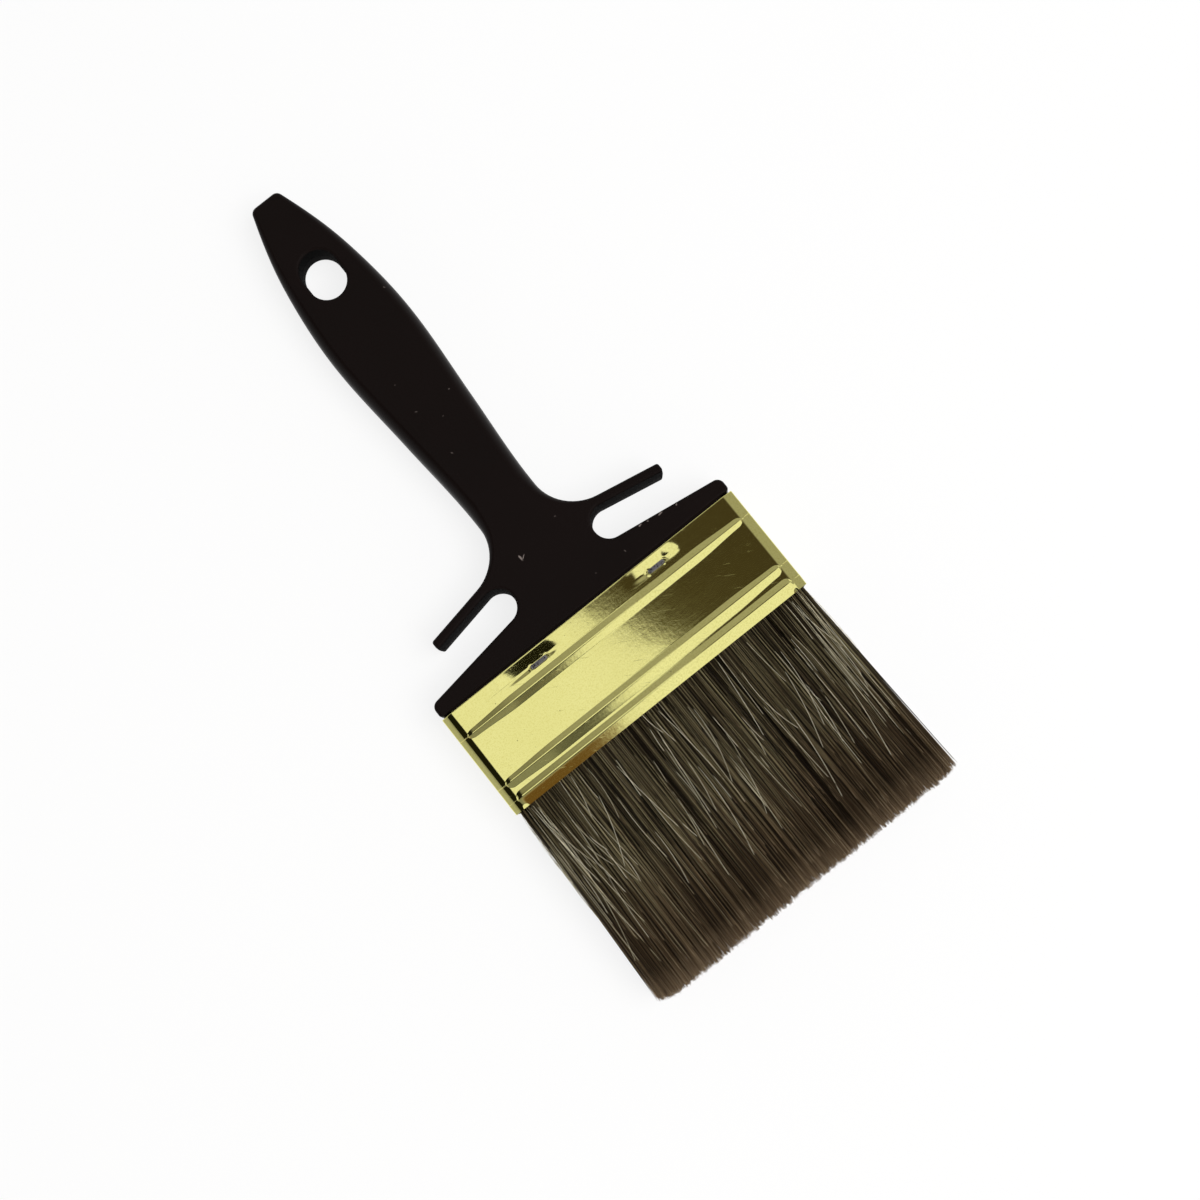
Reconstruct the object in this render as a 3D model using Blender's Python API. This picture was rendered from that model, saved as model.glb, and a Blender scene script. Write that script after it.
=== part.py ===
"""Flat wall-paint brush with a moulded handle, lying on its back.

Every piece is modelled about the middle of the ferrule's upper edge: +X runs across the
width, +Y towards the handle's tip and +Z up through the thickness. One empty then places
the brush, so that the origin is under the middle of the whole brush, on the surface that
it lies on.
"""
import math
import random

import bmesh
import bpy
from mathutils import Vector

MM = 0.001

# Ferrule: one folded and beaded sheet-metal band
FERRULE_WIDTH = 99.6 * MM
FERRULE_THICKNESS = 16.2 * MM
FERRULE_HEIGHT = 32.4 * MM
FERRULE_CORNER_RADIUS = 2.4 * MM
SHEET = 0.5 * MM
BEAD_FACE_HEIGHT = 0.7 * MM
BEAD_SIDE_HEIGHT = 0.25 * MM
UPPER_BEAD_DROP = 8.3 * MM
UPPER_BEAD_HALF = 1.8 * MM
LOWER_BEAD_ABOVE_MOUTH = 7.4 * MM
LOWER_BEAD_HALF = 1.8 * MM
LIP_BEAD_ABOVE_MOUTH = 3.0 * MM
LIP_BEAD_HALF = 0.9 * MM
LIP_BEAD_SHARE = 0.6
LIP_TUCK = 0.4 * MM
CORNER_STEPS = 4

# Staples that pin the ferrule to the handle, two on each face
STAPLE_SPACING = 40.8 * MM
STAPLE_DROP = 4.0 * MM
STAPLE_LENGTH = 5.2 * MM
STAPLE_WIRE = 1.2 * MM
STAPLE_CROWN = 0.8 * MM
STAPLE_SHORT_OF_MIDDLE = 2.0 * MM
STAPLE_CHAMFER = 0.3 * MM
DIMPLE_DEPTH = 0.7 * MM
DIMPLE_HALF_LENGTH = 7.0 * MM
DIMPLE_HALF_HEIGHT = 3.6 * MM

# Handle: grip, neck, two can hooks, shoulders and the tongue inside the ferrule
HANDLE_LENGTH = 144.9 * MM
HEAD_SET_BACK = 0.3 * MM
TIP_THICKNESS = 10.4 * MM
WAIST_HALF_WIDTH = 9.8 * MM
WAIST_ABOVE_FILLET = 1.6 * MM
GRIP_HALF_WIDTH = 13.4 * MM
GRIP_BELOW_TIP = 49.0 * MM
GRIP_RISE_SLOPE = 0.065
HOLE_SIDE_HALF_WIDTH = 11.0 * MM
HOLE_SIDE_BELOW_TIP = 23.2 * MM
HOLE_SIDE_SLOPE = -0.17
NOSE_HALF_WIDTH = 6.5 * MM
NOSE_BELOW_TIP = 5.6 * MM
NOSE_SLOPE = -0.33
TIP_HALF_WIDTH = 4.6 * MM
TIP_CORNER_RADIUS = 2.2 * MM
NECK_FILLET = 13.5 * MM
SHOULDER_END_HEIGHT = 4.9 * MM
SHOULDER_SLOPE = math.radians(8.5)
SHOULDER_CORNER_RADIUS = 2.4 * MM
SEAT_CORNER_RADIUS = 1.2 * MM
HOOK_TIP_INSET = 10.6 * MM
HOOK_MOUTH = 8.9 * MM
HOOK_SLOPE = math.radians(10.8)
HOOK_BLADE = 3.0 * MM
HOOK_TIP_RADIUS = 1.0 * MM
HOOK_SLOT_END_X = 14.3 * MM
HANG_HOLE_BELOW_TIP = 27.3 * MM
HANG_HOLE_RADIUS = 5.45 * MM
HANG_HOLE_STRAIGHT = 3.8 * MM
GRIP_EDGE_RADIUS = 3.6 * MM
TIP_EDGE_RADIUS = 1.6 * MM
FINE_EDGE_RADIUS = 0.5 * MM
ROUNDING_START_HEIGHT = 23.0 * MM
ROUNDING_FULL_HEIGHT = 45.0 * MM
MOULD_DRAFT = math.tan(math.radians(1.5))
TONGUE_DEPTH = 11.0 * MM
TONGUE_ROOT = 2.0 * MM
SLOT_ROUNDING = 0.99
ARC_STEP = math.radians(15.0)
SIDE_STEPS = 5

# Setting: the resin heel and the two spacer strips between the rows of bristle
HEEL_DEPTH = 8.0 * MM
SLICE_DEPTH = 2.2 * MM
SPACER_THICKNESS = 2.2 * MM
SPACER_CHAMFER = 0.35 * MM
SPACER_HEEL_GRIP = 6.0 * MM
SPACER_SHORT_OF_MOUTH = 2.4 * MM

# Bristles: strands in three long rows and a tuft at each end of the spacers
BRISTLE_OUT = 63.8 * MM
END_TUFT_WIDTH = 6.2 * MM
STRAND_PITCH = 1.6 * MM
ROW_STRANDS = 2
TUFT_STRANDS = 8
TIP_FLARE = 0.8 * MM
TIP_THINNING = 2.5 * MM
STRAND_MOUTH_SCALE = 0.92
STRAND_TIP_SCALE = 0.44
STRAND_TIP_DRIFT = 0.16 * MM
STRAND_RAGGED = 3.0 * MM
BRISTLE_SEED = 7

# Fits between neighbouring pieces
CLEARANCE = 0.3 * MM
STAPLE_CLEARANCE = 0.15 * MM
PACK_CLEARANCE = 0.35 * MM

# Sizes that follow from the ones above
INNER_HALF_WIDTH = FERRULE_WIDTH / 2 - SHEET
INNER_HALF_THICKNESS = FERRULE_THICKNESS / 2 - SHEET
INNER_CORNER = FERRULE_CORNER_RADIUS - SHEET
PACK_INSET = LIP_TUCK + INNER_CORNER - (INNER_CORNER - PACK_CLEARANCE) / math.sqrt(2.0)
PACK_HALF_WIDTH = INNER_HALF_WIDTH - PACK_INSET
PACK_HALF_THICKNESS = INNER_HALF_THICKNESS - PACK_INSET
TIP_HALF_PACK_WIDTH = FERRULE_WIDTH / 2 + TIP_FLARE
TIP_HALF_PACK_THICKNESS = FERRULE_THICKNESS / 2 - TIP_THINNING
SPACER_LENGTH = 2 * (PACK_HALF_WIDTH - END_TUFT_WIDTH - CLEARANCE)
SPACER_BERTH = SPACER_THICKNESS + 2 * CLEARANCE
BRISTLE_ROW = (2 * PACK_HALF_THICKNESS - 2 * SPACER_BERTH) / 3
SPACER_OFFSET = (BRISTLE_ROW + SPACER_BERTH) / 2
HEEL_TOP = -TONGUE_DEPTH - CLEARANCE
HEEL_BOTTOM = HEEL_TOP - HEEL_DEPTH
SLICE_TOP = HEEL_BOTTOM - CLEARANCE
SLICE_BOTTOM = SLICE_TOP - SLICE_DEPTH
BRISTLE_TIP = -FERRULE_HEIGHT - BRISTLE_OUT
HEAD_THICKNESS = FERRULE_THICKNESS - 2 * HEAD_SET_BACK
HANG_HOLE_HEIGHT = HANDLE_LENGTH - HANG_HOLE_BELOW_TIP
BRUSH_MIDDLE = (HANDLE_LENGTH + BRISTLE_TIP) / 2
REST_HEIGHT = FERRULE_THICKNESS / 2 + BEAD_FACE_HEIGHT


def clear_scene():
    for obj in list(bpy.data.objects):
        bpy.data.objects.remove(obj, do_unlink=True)


def make_material(name, colour, roughness, metallic=0.0):
    material = bpy.data.materials.new(name)
    material.use_nodes = True
    shader = material.node_tree.nodes["Principled BSDF"]
    shader.inputs["Base Color"].default_value = (*colour, 1.0)
    shader.inputs["Roughness"].default_value = roughness
    shader.inputs["Metallic"].default_value = metallic
    material.diffuse_color = (*colour, 1.0)
    return material


def add_piece(name, bm, material, parent, smooth_angle=35.0):
    """Turn a finished bmesh into a named object under the brush's empty."""
    bmesh.ops.recalc_face_normals(bm, faces=bm.faces[:])
    mesh = bpy.data.meshes.new(name)
    bm.to_mesh(mesh)
    bm.free()
    mesh.materials.append(material)
    mesh.shade_smooth()
    mesh.set_sharp_from_angle(angle=math.radians(smooth_angle))
    obj = bpy.data.objects.new(name, mesh)
    bpy.context.scene.collection.objects.link(obj)
    obj.parent = parent
    return obj


def add_cutter(name, bm, material, parent):
    cutter = add_piece(name, bm, material, parent)
    cutter.hide_render = True
    cutter.display_type = "WIRE"
    return cutter


def add_boolean(obj, cutter, operation):
    modifier = obj.modifiers.new(cutter.name, "BOOLEAN")
    modifier.operation = operation
    modifier.solver = "EXACT"
    modifier.object = cutter


def add_box(bm, low, high):
    """Add a closed box between two corners."""
    made = bmesh.ops.create_cube(bm, size=1.0)["verts"]
    low, high = Vector(low), Vector(high)
    for vert in made:
        share = vert.co + Vector((0.5, 0.5, 0.5))
        vert.co = low + Vector(s * e for s, e in zip(share, high - low))
    return made


def bump(share):
    """A smooth hump: 1 in the middle, 0 at plus and minus 1 and beyond."""
    if abs(share) >= 1.0:
        return 0.0
    return 0.5 + 0.5 * math.cos(math.pi * share)


def smooth_step(start, end, value):
    share = min(max((value - start) / (end - start), 0.0), 1.0)
    return share * share * (3.0 - 2.0 * share)


def hermite(start, end, share):
    """Height and half width along a cubic between two (height, half width, slope) stations."""
    span = end[0] - start[0]
    s2, s3 = share ** 2, share ** 3
    width = (2 * s3 - 3 * s2 + 1) * start[1] + (s3 - 2 * s2 + share) * span * start[2]
    width += (3 * s2 - 2 * s3) * end[1] + (s3 - s2) * span * end[2]
    return start[0] + span * share, width


def round_corners(corners):
    """Replace each inner (x, y, radius) corner of an open path by points along its arc."""
    path = [Vector(corners[0][:2])]
    for before, here, after in zip(corners, corners[1:], corners[2:]):
        corner, radius = Vector(here[:2]), here[2]
        if radius == 0.0:
            path.append(corner)
            continue
        back = (Vector(before[:2]) - corner).normalized()
        ahead = (Vector(after[:2]) - corner).normalized()
        half = back.angle(ahead) / 2
        centre = corner + (back + ahead).normalized() * radius / math.sin(half)
        first = corner + back * radius / math.tan(half) - centre
        last = corner + ahead * radius / math.tan(half) - centre
        sweep = first.angle_signed(last)
        steps = max(2, math.ceil(abs(sweep) / ARC_STEP))
        for step in range(steps + 1):
            turn = -sweep * step / steps
            cos_turn, sin_turn = math.cos(turn), math.sin(turn)
            spoke_x = first.x * cos_turn - first.y * sin_turn
            spoke_y = first.x * sin_turn + first.y * cos_turn
            path.append(centre + Vector((spoke_x, spoke_y)))
    path.append(Vector(corners[-1][:2]))
    return path


def handle_half_outline():
    """Right half of the handle's outline, from under the shoulder round to the tip."""
    shoulder = FERRULE_WIDTH / 2
    hook_tip = shoulder - HOOK_TIP_INSET

    def shoulder_edge(x):
        return SHOULDER_END_HEIGHT + math.tan(SHOULDER_SLOPE) * (shoulder - x)

    def hook_inside(x):
        return shoulder_edge(hook_tip) + HOOK_MOUTH + math.tan(HOOK_SLOPE) * (hook_tip - x)

    def hook_outside(x):
        return hook_inside(x) + HOOK_BLADE / math.cos(HOOK_SLOPE)

    slot_end = hook_inside(HOOK_SLOT_END_X) - shoulder_edge(HOOK_SLOT_END_X)
    lower_half = (math.pi / 2 + SHOULDER_SLOPE) / 2
    upper_half = (math.pi / 2 - HOOK_SLOPE) / 2
    slot_radius = SLOT_ROUNDING * slot_end / (1 / math.tan(lower_half) + 1 / math.tan(upper_half))
    neck_half = (math.pi / 2 + HOOK_SLOPE) / 2
    waist = hook_outside(WAIST_HALF_WIDTH) + NECK_FILLET / math.tan(neck_half) + WAIST_ABOVE_FILLET
    grip = HANDLE_LENGTH - GRIP_BELOW_TIP
    corners = [
        (0.0, CLEARANCE, 0.0),
        (shoulder, CLEARANCE, SEAT_CORNER_RADIUS),
        (shoulder, SHOULDER_END_HEIGHT, SHOULDER_CORNER_RADIUS),
        (HOOK_SLOT_END_X, shoulder_edge(HOOK_SLOT_END_X), slot_radius),
        (HOOK_SLOT_END_X, hook_inside(HOOK_SLOT_END_X), slot_radius),
        (hook_tip, hook_inside(hook_tip), HOOK_TIP_RADIUS),
        (hook_tip, hook_outside(hook_tip), HOOK_TIP_RADIUS),
        (WAIST_HALF_WIDTH, hook_outside(WAIST_HALF_WIDTH), NECK_FILLET),
    ]
    stations = [
        (waist, WAIST_HALF_WIDTH, 0.0),
        ((waist + grip) / 2, (WAIST_HALF_WIDTH + GRIP_HALF_WIDTH) / 2, GRIP_RISE_SLOPE),
        (grip, GRIP_HALF_WIDTH, 0.0),
        (HANDLE_LENGTH - HOLE_SIDE_BELOW_TIP, HOLE_SIDE_HALF_WIDTH, HOLE_SIDE_SLOPE),
        (HANDLE_LENGTH - NOSE_BELOW_TIP, NOSE_HALF_WIDTH, NOSE_SLOPE),
    ]
    for start, end in zip(stations, stations[1:]):
        for step in range(SIDE_STEPS):
            height, width = hermite(start, end, step / SIDE_STEPS)
            corners.append((width, height, 0.0))
    corners.append((NOSE_HALF_WIDTH, HANDLE_LENGTH - NOSE_BELOW_TIP, 0.0))
    corners.append((TIP_HALF_WIDTH, HANDLE_LENGTH, TIP_CORNER_RADIUS))
    corners.append((0.0, HANDLE_LENGTH, 0.0))
    return round_corners(corners)


def handle_outline():
    right = handle_half_outline()
    left = [Vector((-p.x, p.y)) for p in reversed(right[1:-1])]
    return right + left


def hang_hole_outline():
    """Stadium-shaped hole, run clockwise so that its normals point out of the plastic."""
    points = []
    steps = round(math.pi / ARC_STEP)
    for end in (1, -1):
        for step in range(steps + 1):
            angle = math.pi * step / steps if end > 0 else math.pi + math.pi * step / steps
            x = -HANG_HOLE_RADIUS * math.cos(angle)
            y = HANG_HOLE_RADIUS * math.sin(angle)
            points.append(Vector((x, HANG_HOLE_HEIGHT + end * HANG_HOLE_STRAIGHT / 2 + y)))
    return points


def outward_normals(points):
    normals = []
    for i, here in enumerate(points):
        before = (here - points[i - 1]).normalized()
        after = (points[(i + 1) % len(points)] - here).normalized()
        along = (before + after).normalized()
        normals.append(Vector((along.y, -along.x)))
    return normals


def handle_half_thickness(y):
    return (HEAD_THICKNESS + (TIP_THICKNESS - HEAD_THICKNESS) * y / HANDLE_LENGTH) / 2


def handle_edge_radius(point):
    """Full rounding along the grip, less at the tip, and little on hooks and shoulders."""
    to_grip = smooth_step(ROUNDING_START_HEIGHT, ROUNDING_FULL_HEIGHT, point.y)
    to_tip = smooth_step(HANG_HOLE_HEIGHT, HANDLE_LENGTH, point.y)
    radius = FINE_EDGE_RADIUS + (GRIP_EDGE_RADIUS - FINE_EDGE_RADIUS) * to_grip
    return radius + (TIP_EDGE_RADIUS - radius) * to_tip


def handle_levels(radius, half):
    """(inset, height) steps up one rounded, drafted side from the parting plane to the face."""
    wall = half - radius
    draft = MOULD_DRAFT * wall
    turn = math.radians(45.0)
    return [
        (0.0, 0.0),
        (draft, wall),
        (draft + radius * (1 - math.cos(turn)), wall + radius * math.sin(turn)),
        (draft + radius, half),
    ]


def add_handle_wall(bm, points, radii):
    """Add one wall of the handle, face to face, and return its two edge loops' edges."""
    normals = outward_normals(points)
    level_count = len(handle_levels(0.0, 1.0))
    rings = []
    for level in range(1 - level_count, level_count):
        ring = []
        for point, normal, radius in zip(points, normals, radii):
            inset, height = handle_levels(radius, handle_half_thickness(point.y))[abs(level)]
            place = point - normal * inset
            if abs(level) == level_count - 1:
                height = handle_half_thickness(place.y)
            ring.append(bm.verts.new((place.x, place.y, math.copysign(height, level))))
        rings.append(ring)
    for lower, upper in zip(rings, rings[1:]):
        for i in range(len(points)):
            j = (i + 1) % len(points)
            bm.faces.new((lower[i], lower[j], upper[j], upper[i]))
    rims = []
    for ring in (rings[0], rings[-1]):
        rims.append([bm.edges.get((ring[i - 1], ring[i])) for i in range(len(ring))])
    return rims


def make_handle(material, parent):
    bm = bmesh.new()
    outline = handle_outline()
    hole = hang_hole_outline()
    outer_rims = add_handle_wall(bm, outline, [handle_edge_radius(p) for p in outline])
    hole_rims = add_handle_wall(bm, hole, [FINE_EDGE_RADIUS] * len(hole))
    for outer, inner in zip(outer_rims, hole_rims):
        bmesh.ops.triangle_fill(bm, edges=outer + inner, use_beauty=True)
    handle = add_piece("handle", bm, material, parent)

    tongue = bmesh.new()
    half_width = INNER_HALF_WIDTH - CLEARANCE
    half_thickness = INNER_HALF_THICKNESS - CLEARANCE
    low = (-half_width, -TONGUE_DEPTH, -half_thickness)
    high = (half_width, TONGUE_ROOT, half_thickness)
    add_box(tongue, low, high)
    upright = [e for e in tongue.edges if abs(e.verts[0].co.y - e.verts[1].co.y) > TONGUE_DEPTH]
    bmesh.ops.bevel(tongue, geom=upright, offset=INNER_CORNER, segments=3, affect="EDGES")
    add_boolean(handle, add_cutter("tongue_form", tongue, material, parent), "UNION")
    return handle


def staple_places():
    return [(side * STAPLE_SPACING / 2, face) for face in (1, -1) for side in (-1, 1)]


def make_staple_cutter(material, parent):
    """Leg holes through the ferrule and the tongue."""
    bm = bmesh.new()
    half_hole = STAPLE_WIRE / 2 + CLEARANCE
    reach = FERRULE_THICKNESS
    leg = (STAPLE_LENGTH - STAPLE_WIRE) / 2
    for side in (-1, 1):
        for end in (-1, 1):
            x = side * STAPLE_SPACING / 2 + end * leg
            low = (x - half_hole, -STAPLE_DROP - half_hole, -reach)
            high = (x + half_hole, -STAPLE_DROP + half_hole, reach)
            add_box(bm, low, high)
    return add_cutter("staple_leg_holes", bm, material, parent)


def make_dimple_cutter(material, parent):
    """Shallow pockets in the tongue, where the staples draw the ferrule in."""
    bm = bmesh.new()
    surface = INNER_HALF_THICKNESS
    for x, face in staple_places():
        near = face * (surface + CLEARANCE)
        deep = face * (surface - DIMPLE_DEPTH - CLEARANCE)
        low = (x - DIMPLE_HALF_LENGTH, -STAPLE_DROP - DIMPLE_HALF_HEIGHT, min(near, deep))
        high = (x + DIMPLE_HALF_LENGTH, -STAPLE_DROP + DIMPLE_HALF_HEIGHT, max(near, deep))
        add_box(bm, low, high)
    return add_cutter("dimple_pockets", bm, material, parent)


def ferrule_beads():
    """(distance below the upper edge, half height, share of the full bead) of each bead."""
    return [
        (UPPER_BEAD_DROP, UPPER_BEAD_HALF, 1.0),
        (FERRULE_HEIGHT - LOWER_BEAD_ABOVE_MOUTH, LOWER_BEAD_HALF, 1.0),
        (FERRULE_HEIGHT - LIP_BEAD_ABOVE_MOUTH, LIP_BEAD_HALF, LIP_BEAD_SHARE),
    ]


def ferrule_rows():
    """Distances below the upper edge at which the ferrule's section changes."""
    rows = {0.0, FERRULE_HEIGHT, STAPLE_DROP}
    rows.update(STAPLE_DROP - DIMPLE_HALF_HEIGHT * share for share in (0.5, 1.0))
    for drop, half, share in ferrule_beads():
        rows.update(drop + half * step for step in (-1.0, -0.5, 0.0, 0.5, 1.0))
    return sorted(rows)


def ferrule_face_columns():
    """Places across one face, close together round the staple dimples."""
    corner = FERRULE_WIDTH / 2 - FERRULE_CORNER_RADIUS
    columns = {-corner, 0.0, corner}
    for side in (-1, 1):
        for share in (-1.0, -0.7, -0.35, 0.0, 0.35, 0.7, 1.0):
            columns.add(side * STAPLE_SPACING / 2 + share * DIMPLE_HALF_LENGTH)
    return sorted(columns)


def ferrule_section():
    """(place, normal) pairs once round the ferrule's outside."""
    columns = ferrule_face_columns()
    half = FERRULE_THICKNESS / 2
    corner_x = FERRULE_WIDTH / 2 - FERRULE_CORNER_RADIUS
    corner_z = half - FERRULE_CORNER_RADIUS
    section = []
    for face in (1, -1):
        for x in columns:
            section.append((Vector((face * x, face * half)), Vector((0.0, face))))
        for end in (1, -1):
            centre = Vector((face * corner_x, face * end * corner_z))
            first = math.pi / 2 if end > 0 else 0.0
            for step in range(1, CORNER_STEPS + (end > 0)):
                angle = first - math.pi / 2 * step / CORNER_STEPS
                normal = Vector((math.cos(angle), math.sin(angle))) * face
                section.append((centre + normal * FERRULE_CORNER_RADIUS, normal))
            if end > 0:
                side_end = Vector((face * FERRULE_WIDTH / 2, -face * corner_z))
                section.append((side_end, Vector((face, 0.0))))
    return section


def ferrule_lift(place, normal, drop):
    """How far the sheet stands out of (or into) its plain section: beads, lip and dimples."""
    bead = sum(share * bump((drop - at) / half) for at, half, share in ferrule_beads())
    lip = smooth_step(FERRULE_HEIGHT - LIP_BEAD_ABOVE_MOUTH, FERRULE_HEIGHT, drop) * LIP_TUCK
    dimple = 0.0
    if normal.x == 0.0:
        across = (abs(place.x) - STAPLE_SPACING / 2) / DIMPLE_HALF_LENGTH
        dimple = DIMPLE_DEPTH * bump(across) * bump((drop - STAPLE_DROP) / DIMPLE_HALF_HEIGHT)
    side = normal.x * (BEAD_SIDE_HEIGHT * bead - lip)
    face = normal.y * (BEAD_FACE_HEIGHT * bead - lip - dimple)
    return Vector((side, face))


def make_ferrule(material, parent):
    bm = bmesh.new()
    rows = ferrule_rows()
    section = ferrule_section()
    rings = []
    for depth, path in ((0.0, rows), (SHEET, rows[::-1])):
        for drop in path:
            ring = []
            for place, normal in section:
                point = place + ferrule_lift(place, normal, drop) - normal * depth
                ring.append(bm.verts.new((point.x, -drop, point.y)))
            rings.append(ring)
    for r, ring in enumerate(rings):
        below = rings[(r + 1) % len(rings)]
        for i in range(len(section)):
            j = (i + 1) % len(section)
            bm.faces.new((ring[i], ring[j], below[j], below[i]))
    return add_piece("ferrule", bm, material, parent, smooth_angle=40.0)


def staple_crown_top():
    """Height of a staple's crown, whose ends rest on the slopes of its dimple."""
    across = bump(STAPLE_LENGTH / 2 / DIMPLE_HALF_LENGTH)
    along = bump(STAPLE_WIRE / 2 / DIMPLE_HALF_HEIGHT)
    seat = FERRULE_THICKNESS / 2 - DIMPLE_DEPTH * across * along
    return seat + STAPLE_CLEARANCE + STAPLE_CROWN


def make_staples(material, parent):
    half, wire, slant = STAPLE_LENGTH / 2, STAPLE_WIRE, STAPLE_WIRE
    crown_top = staple_crown_top()
    depth = crown_top - STAPLE_SHORT_OF_MIDDLE
    right = [
        (half - STAPLE_CHAMFER, 0.0),
        (half, -STAPLE_CHAMFER),
        (half, slant - depth),
        (half - wire, -depth),
        (half - wire, -STAPLE_CROWN),
    ]
    outline = right + [(-x, z) for x, z in reversed(right)]
    for x, face in staple_places():
        bm = bmesh.new()
        flat = bm.faces.new([bm.verts.new((px, -wire / 2, pz)) for px, pz in outline])
        moved = bmesh.ops.extrude_face_region(bm, geom=[flat])["geom"]
        for vert in (g for g in moved if isinstance(g, bmesh.types.BMVert)):
            vert.co.y += wire
        name = f"{'front' if face > 0 else 'rear'}_{'left' if x < 0 else 'right'}_staple"
        staple = add_piece(name, bm, material, parent)
        staple.location = (x, -STAPLE_DROP, face * crown_top)
        staple.rotation_euler = (0.0, 0.0 if face > 0 else math.pi, 0.0)


def make_heel(material, parent):
    """Resin block under the handle's tongue, slotted for the spacer strips."""
    bm = bmesh.new()
    half_width = INNER_HALF_WIDTH - CLEARANCE
    half_thickness = INNER_HALF_THICKNESS - CLEARANCE
    add_box(bm, (-half_width, HEEL_BOTTOM, -half_thickness), (half_width, HEEL_TOP, half_thickness))
    upright = [e for e in bm.edges if abs(e.verts[0].co.y - e.verts[1].co.y) > HEEL_DEPTH / 2]
    bmesh.ops.bevel(bm, geom=upright, offset=INNER_CORNER, segments=3, affect="EDGES")
    heel = add_piece("resin_heel", bm, material, parent)

    slots = bmesh.new()
    half_length = SPACER_LENGTH / 2 + CLEARANCE
    half_slot = SPACER_BERTH / 2
    for face in (1, -1):
        z = face * SPACER_OFFSET
        low = (-half_length, HEEL_BOTTOM - HEEL_DEPTH, z - half_slot)
        high = (half_length, HEEL_BOTTOM + SPACER_HEEL_GRIP + CLEARANCE, z + half_slot)
        add_box(slots, low, high)
    add_boolean(heel, add_cutter("spacer_slots", slots, material, parent), "DIFFERENCE")


def make_spacers(material, parent):
    top = HEEL_BOTTOM + SPACER_HEEL_GRIP
    bottom = SPACER_SHORT_OF_MOUTH - FERRULE_HEIGHT
    half_length, half_thickness = SPACER_LENGTH / 2, SPACER_THICKNESS / 2
    for name, face in (("front_spacer_strip", 1), ("rear_spacer_strip", -1)):
        bm = bmesh.new()
        add_box(bm, (-half_length, bottom, -half_thickness), (half_length, top, half_thickness))
        bmesh.ops.bevel(bm, geom=bm.edges[:], offset=SPACER_CHAMFER, segments=1, affect="EDGES")
        strip = add_piece(name, bm, material, parent)
        strip.location.z = face * SPACER_OFFSET


def place_strand_end(face, centre, scale):
    """Move a strand's end face to a new centre, scaled about its old one."""
    old = face.calc_center_median()
    for vert in face.verts:
        vert.co = centre + (vert.co - old) * scale


def make_bristle_block(name, x_span, z_root, z_tip, counts, material, parent, seed):
    """A slice of resin with one tapering four-sided strand drawn out of each cell under it."""
    rng = random.Random(seed)
    spread = TIP_HALF_PACK_WIDTH / PACK_HALF_WIDTH
    bm = bmesh.new()
    across, deep = counts
    grid = []
    for i in range(across + 1):
        x = x_span[0] + (x_span[1] - x_span[0]) * i / across
        column = [z_root[0] + (z_root[1] - z_root[0]) * k / deep for k in range(deep + 1)]
        grid.append([bm.verts.new((x, SLICE_BOTTOM, z)) for z in column])
    roof = []
    for x, z in zip((*x_span, *reversed(x_span)), (z_root[0], z_root[0], z_root[1], z_root[1])):
        roof.append(bm.verts.new((x, SLICE_TOP, z)))
    bm.faces.new(roof)
    bm.faces.new([column[0] for column in grid] + [roof[1], roof[0]])
    bm.faces.new([column[-1] for column in grid] + [roof[2], roof[3]])
    bm.faces.new(grid[0] + [roof[3], roof[0]])
    bm.faces.new(grid[-1] + [roof[2], roof[1]])
    cells = []
    for i in range(across):
        for k in range(deep):
            cells.append(bm.faces.new((grid[i][k], grid[i + 1][k], grid[i + 1][k + 1], grid[i][k + 1])))
    at_mouth = bmesh.ops.extrude_discrete_faces(bm, faces=cells)["faces"]
    tips = []
    for number, face in enumerate(at_mouth):
        root = face.calc_center_median()
        share = (root.z - z_root[0]) / (z_root[1] - z_root[0])
        drift_x = rng.uniform(-STRAND_TIP_DRIFT, STRAND_TIP_DRIFT)
        drift_z = rng.uniform(-STRAND_TIP_DRIFT, STRAND_TIP_DRIFT)
        shorter = STRAND_RAGGED * rng.random() ** 2 if number else 0.0
        tip_z = z_tip[0] + (z_tip[1] - z_tip[0]) * share
        tip = Vector((root.x * spread + drift_x, BRISTLE_TIP + shorter, tip_z + drift_z))
        tips.append(tip)
        place_strand_end(face, Vector((root.x, -FERRULE_HEIGHT, root.z)), STRAND_MOUTH_SCALE)
    for face, tip in zip(at_mouth, tips):
        end = bmesh.ops.extrude_discrete_faces(bm, faces=[face])["faces"][0]
        place_strand_end(end, tip, STRAND_TIP_SCALE / STRAND_MOUTH_SCALE)
    add_piece(name, bm, material, parent)


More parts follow.
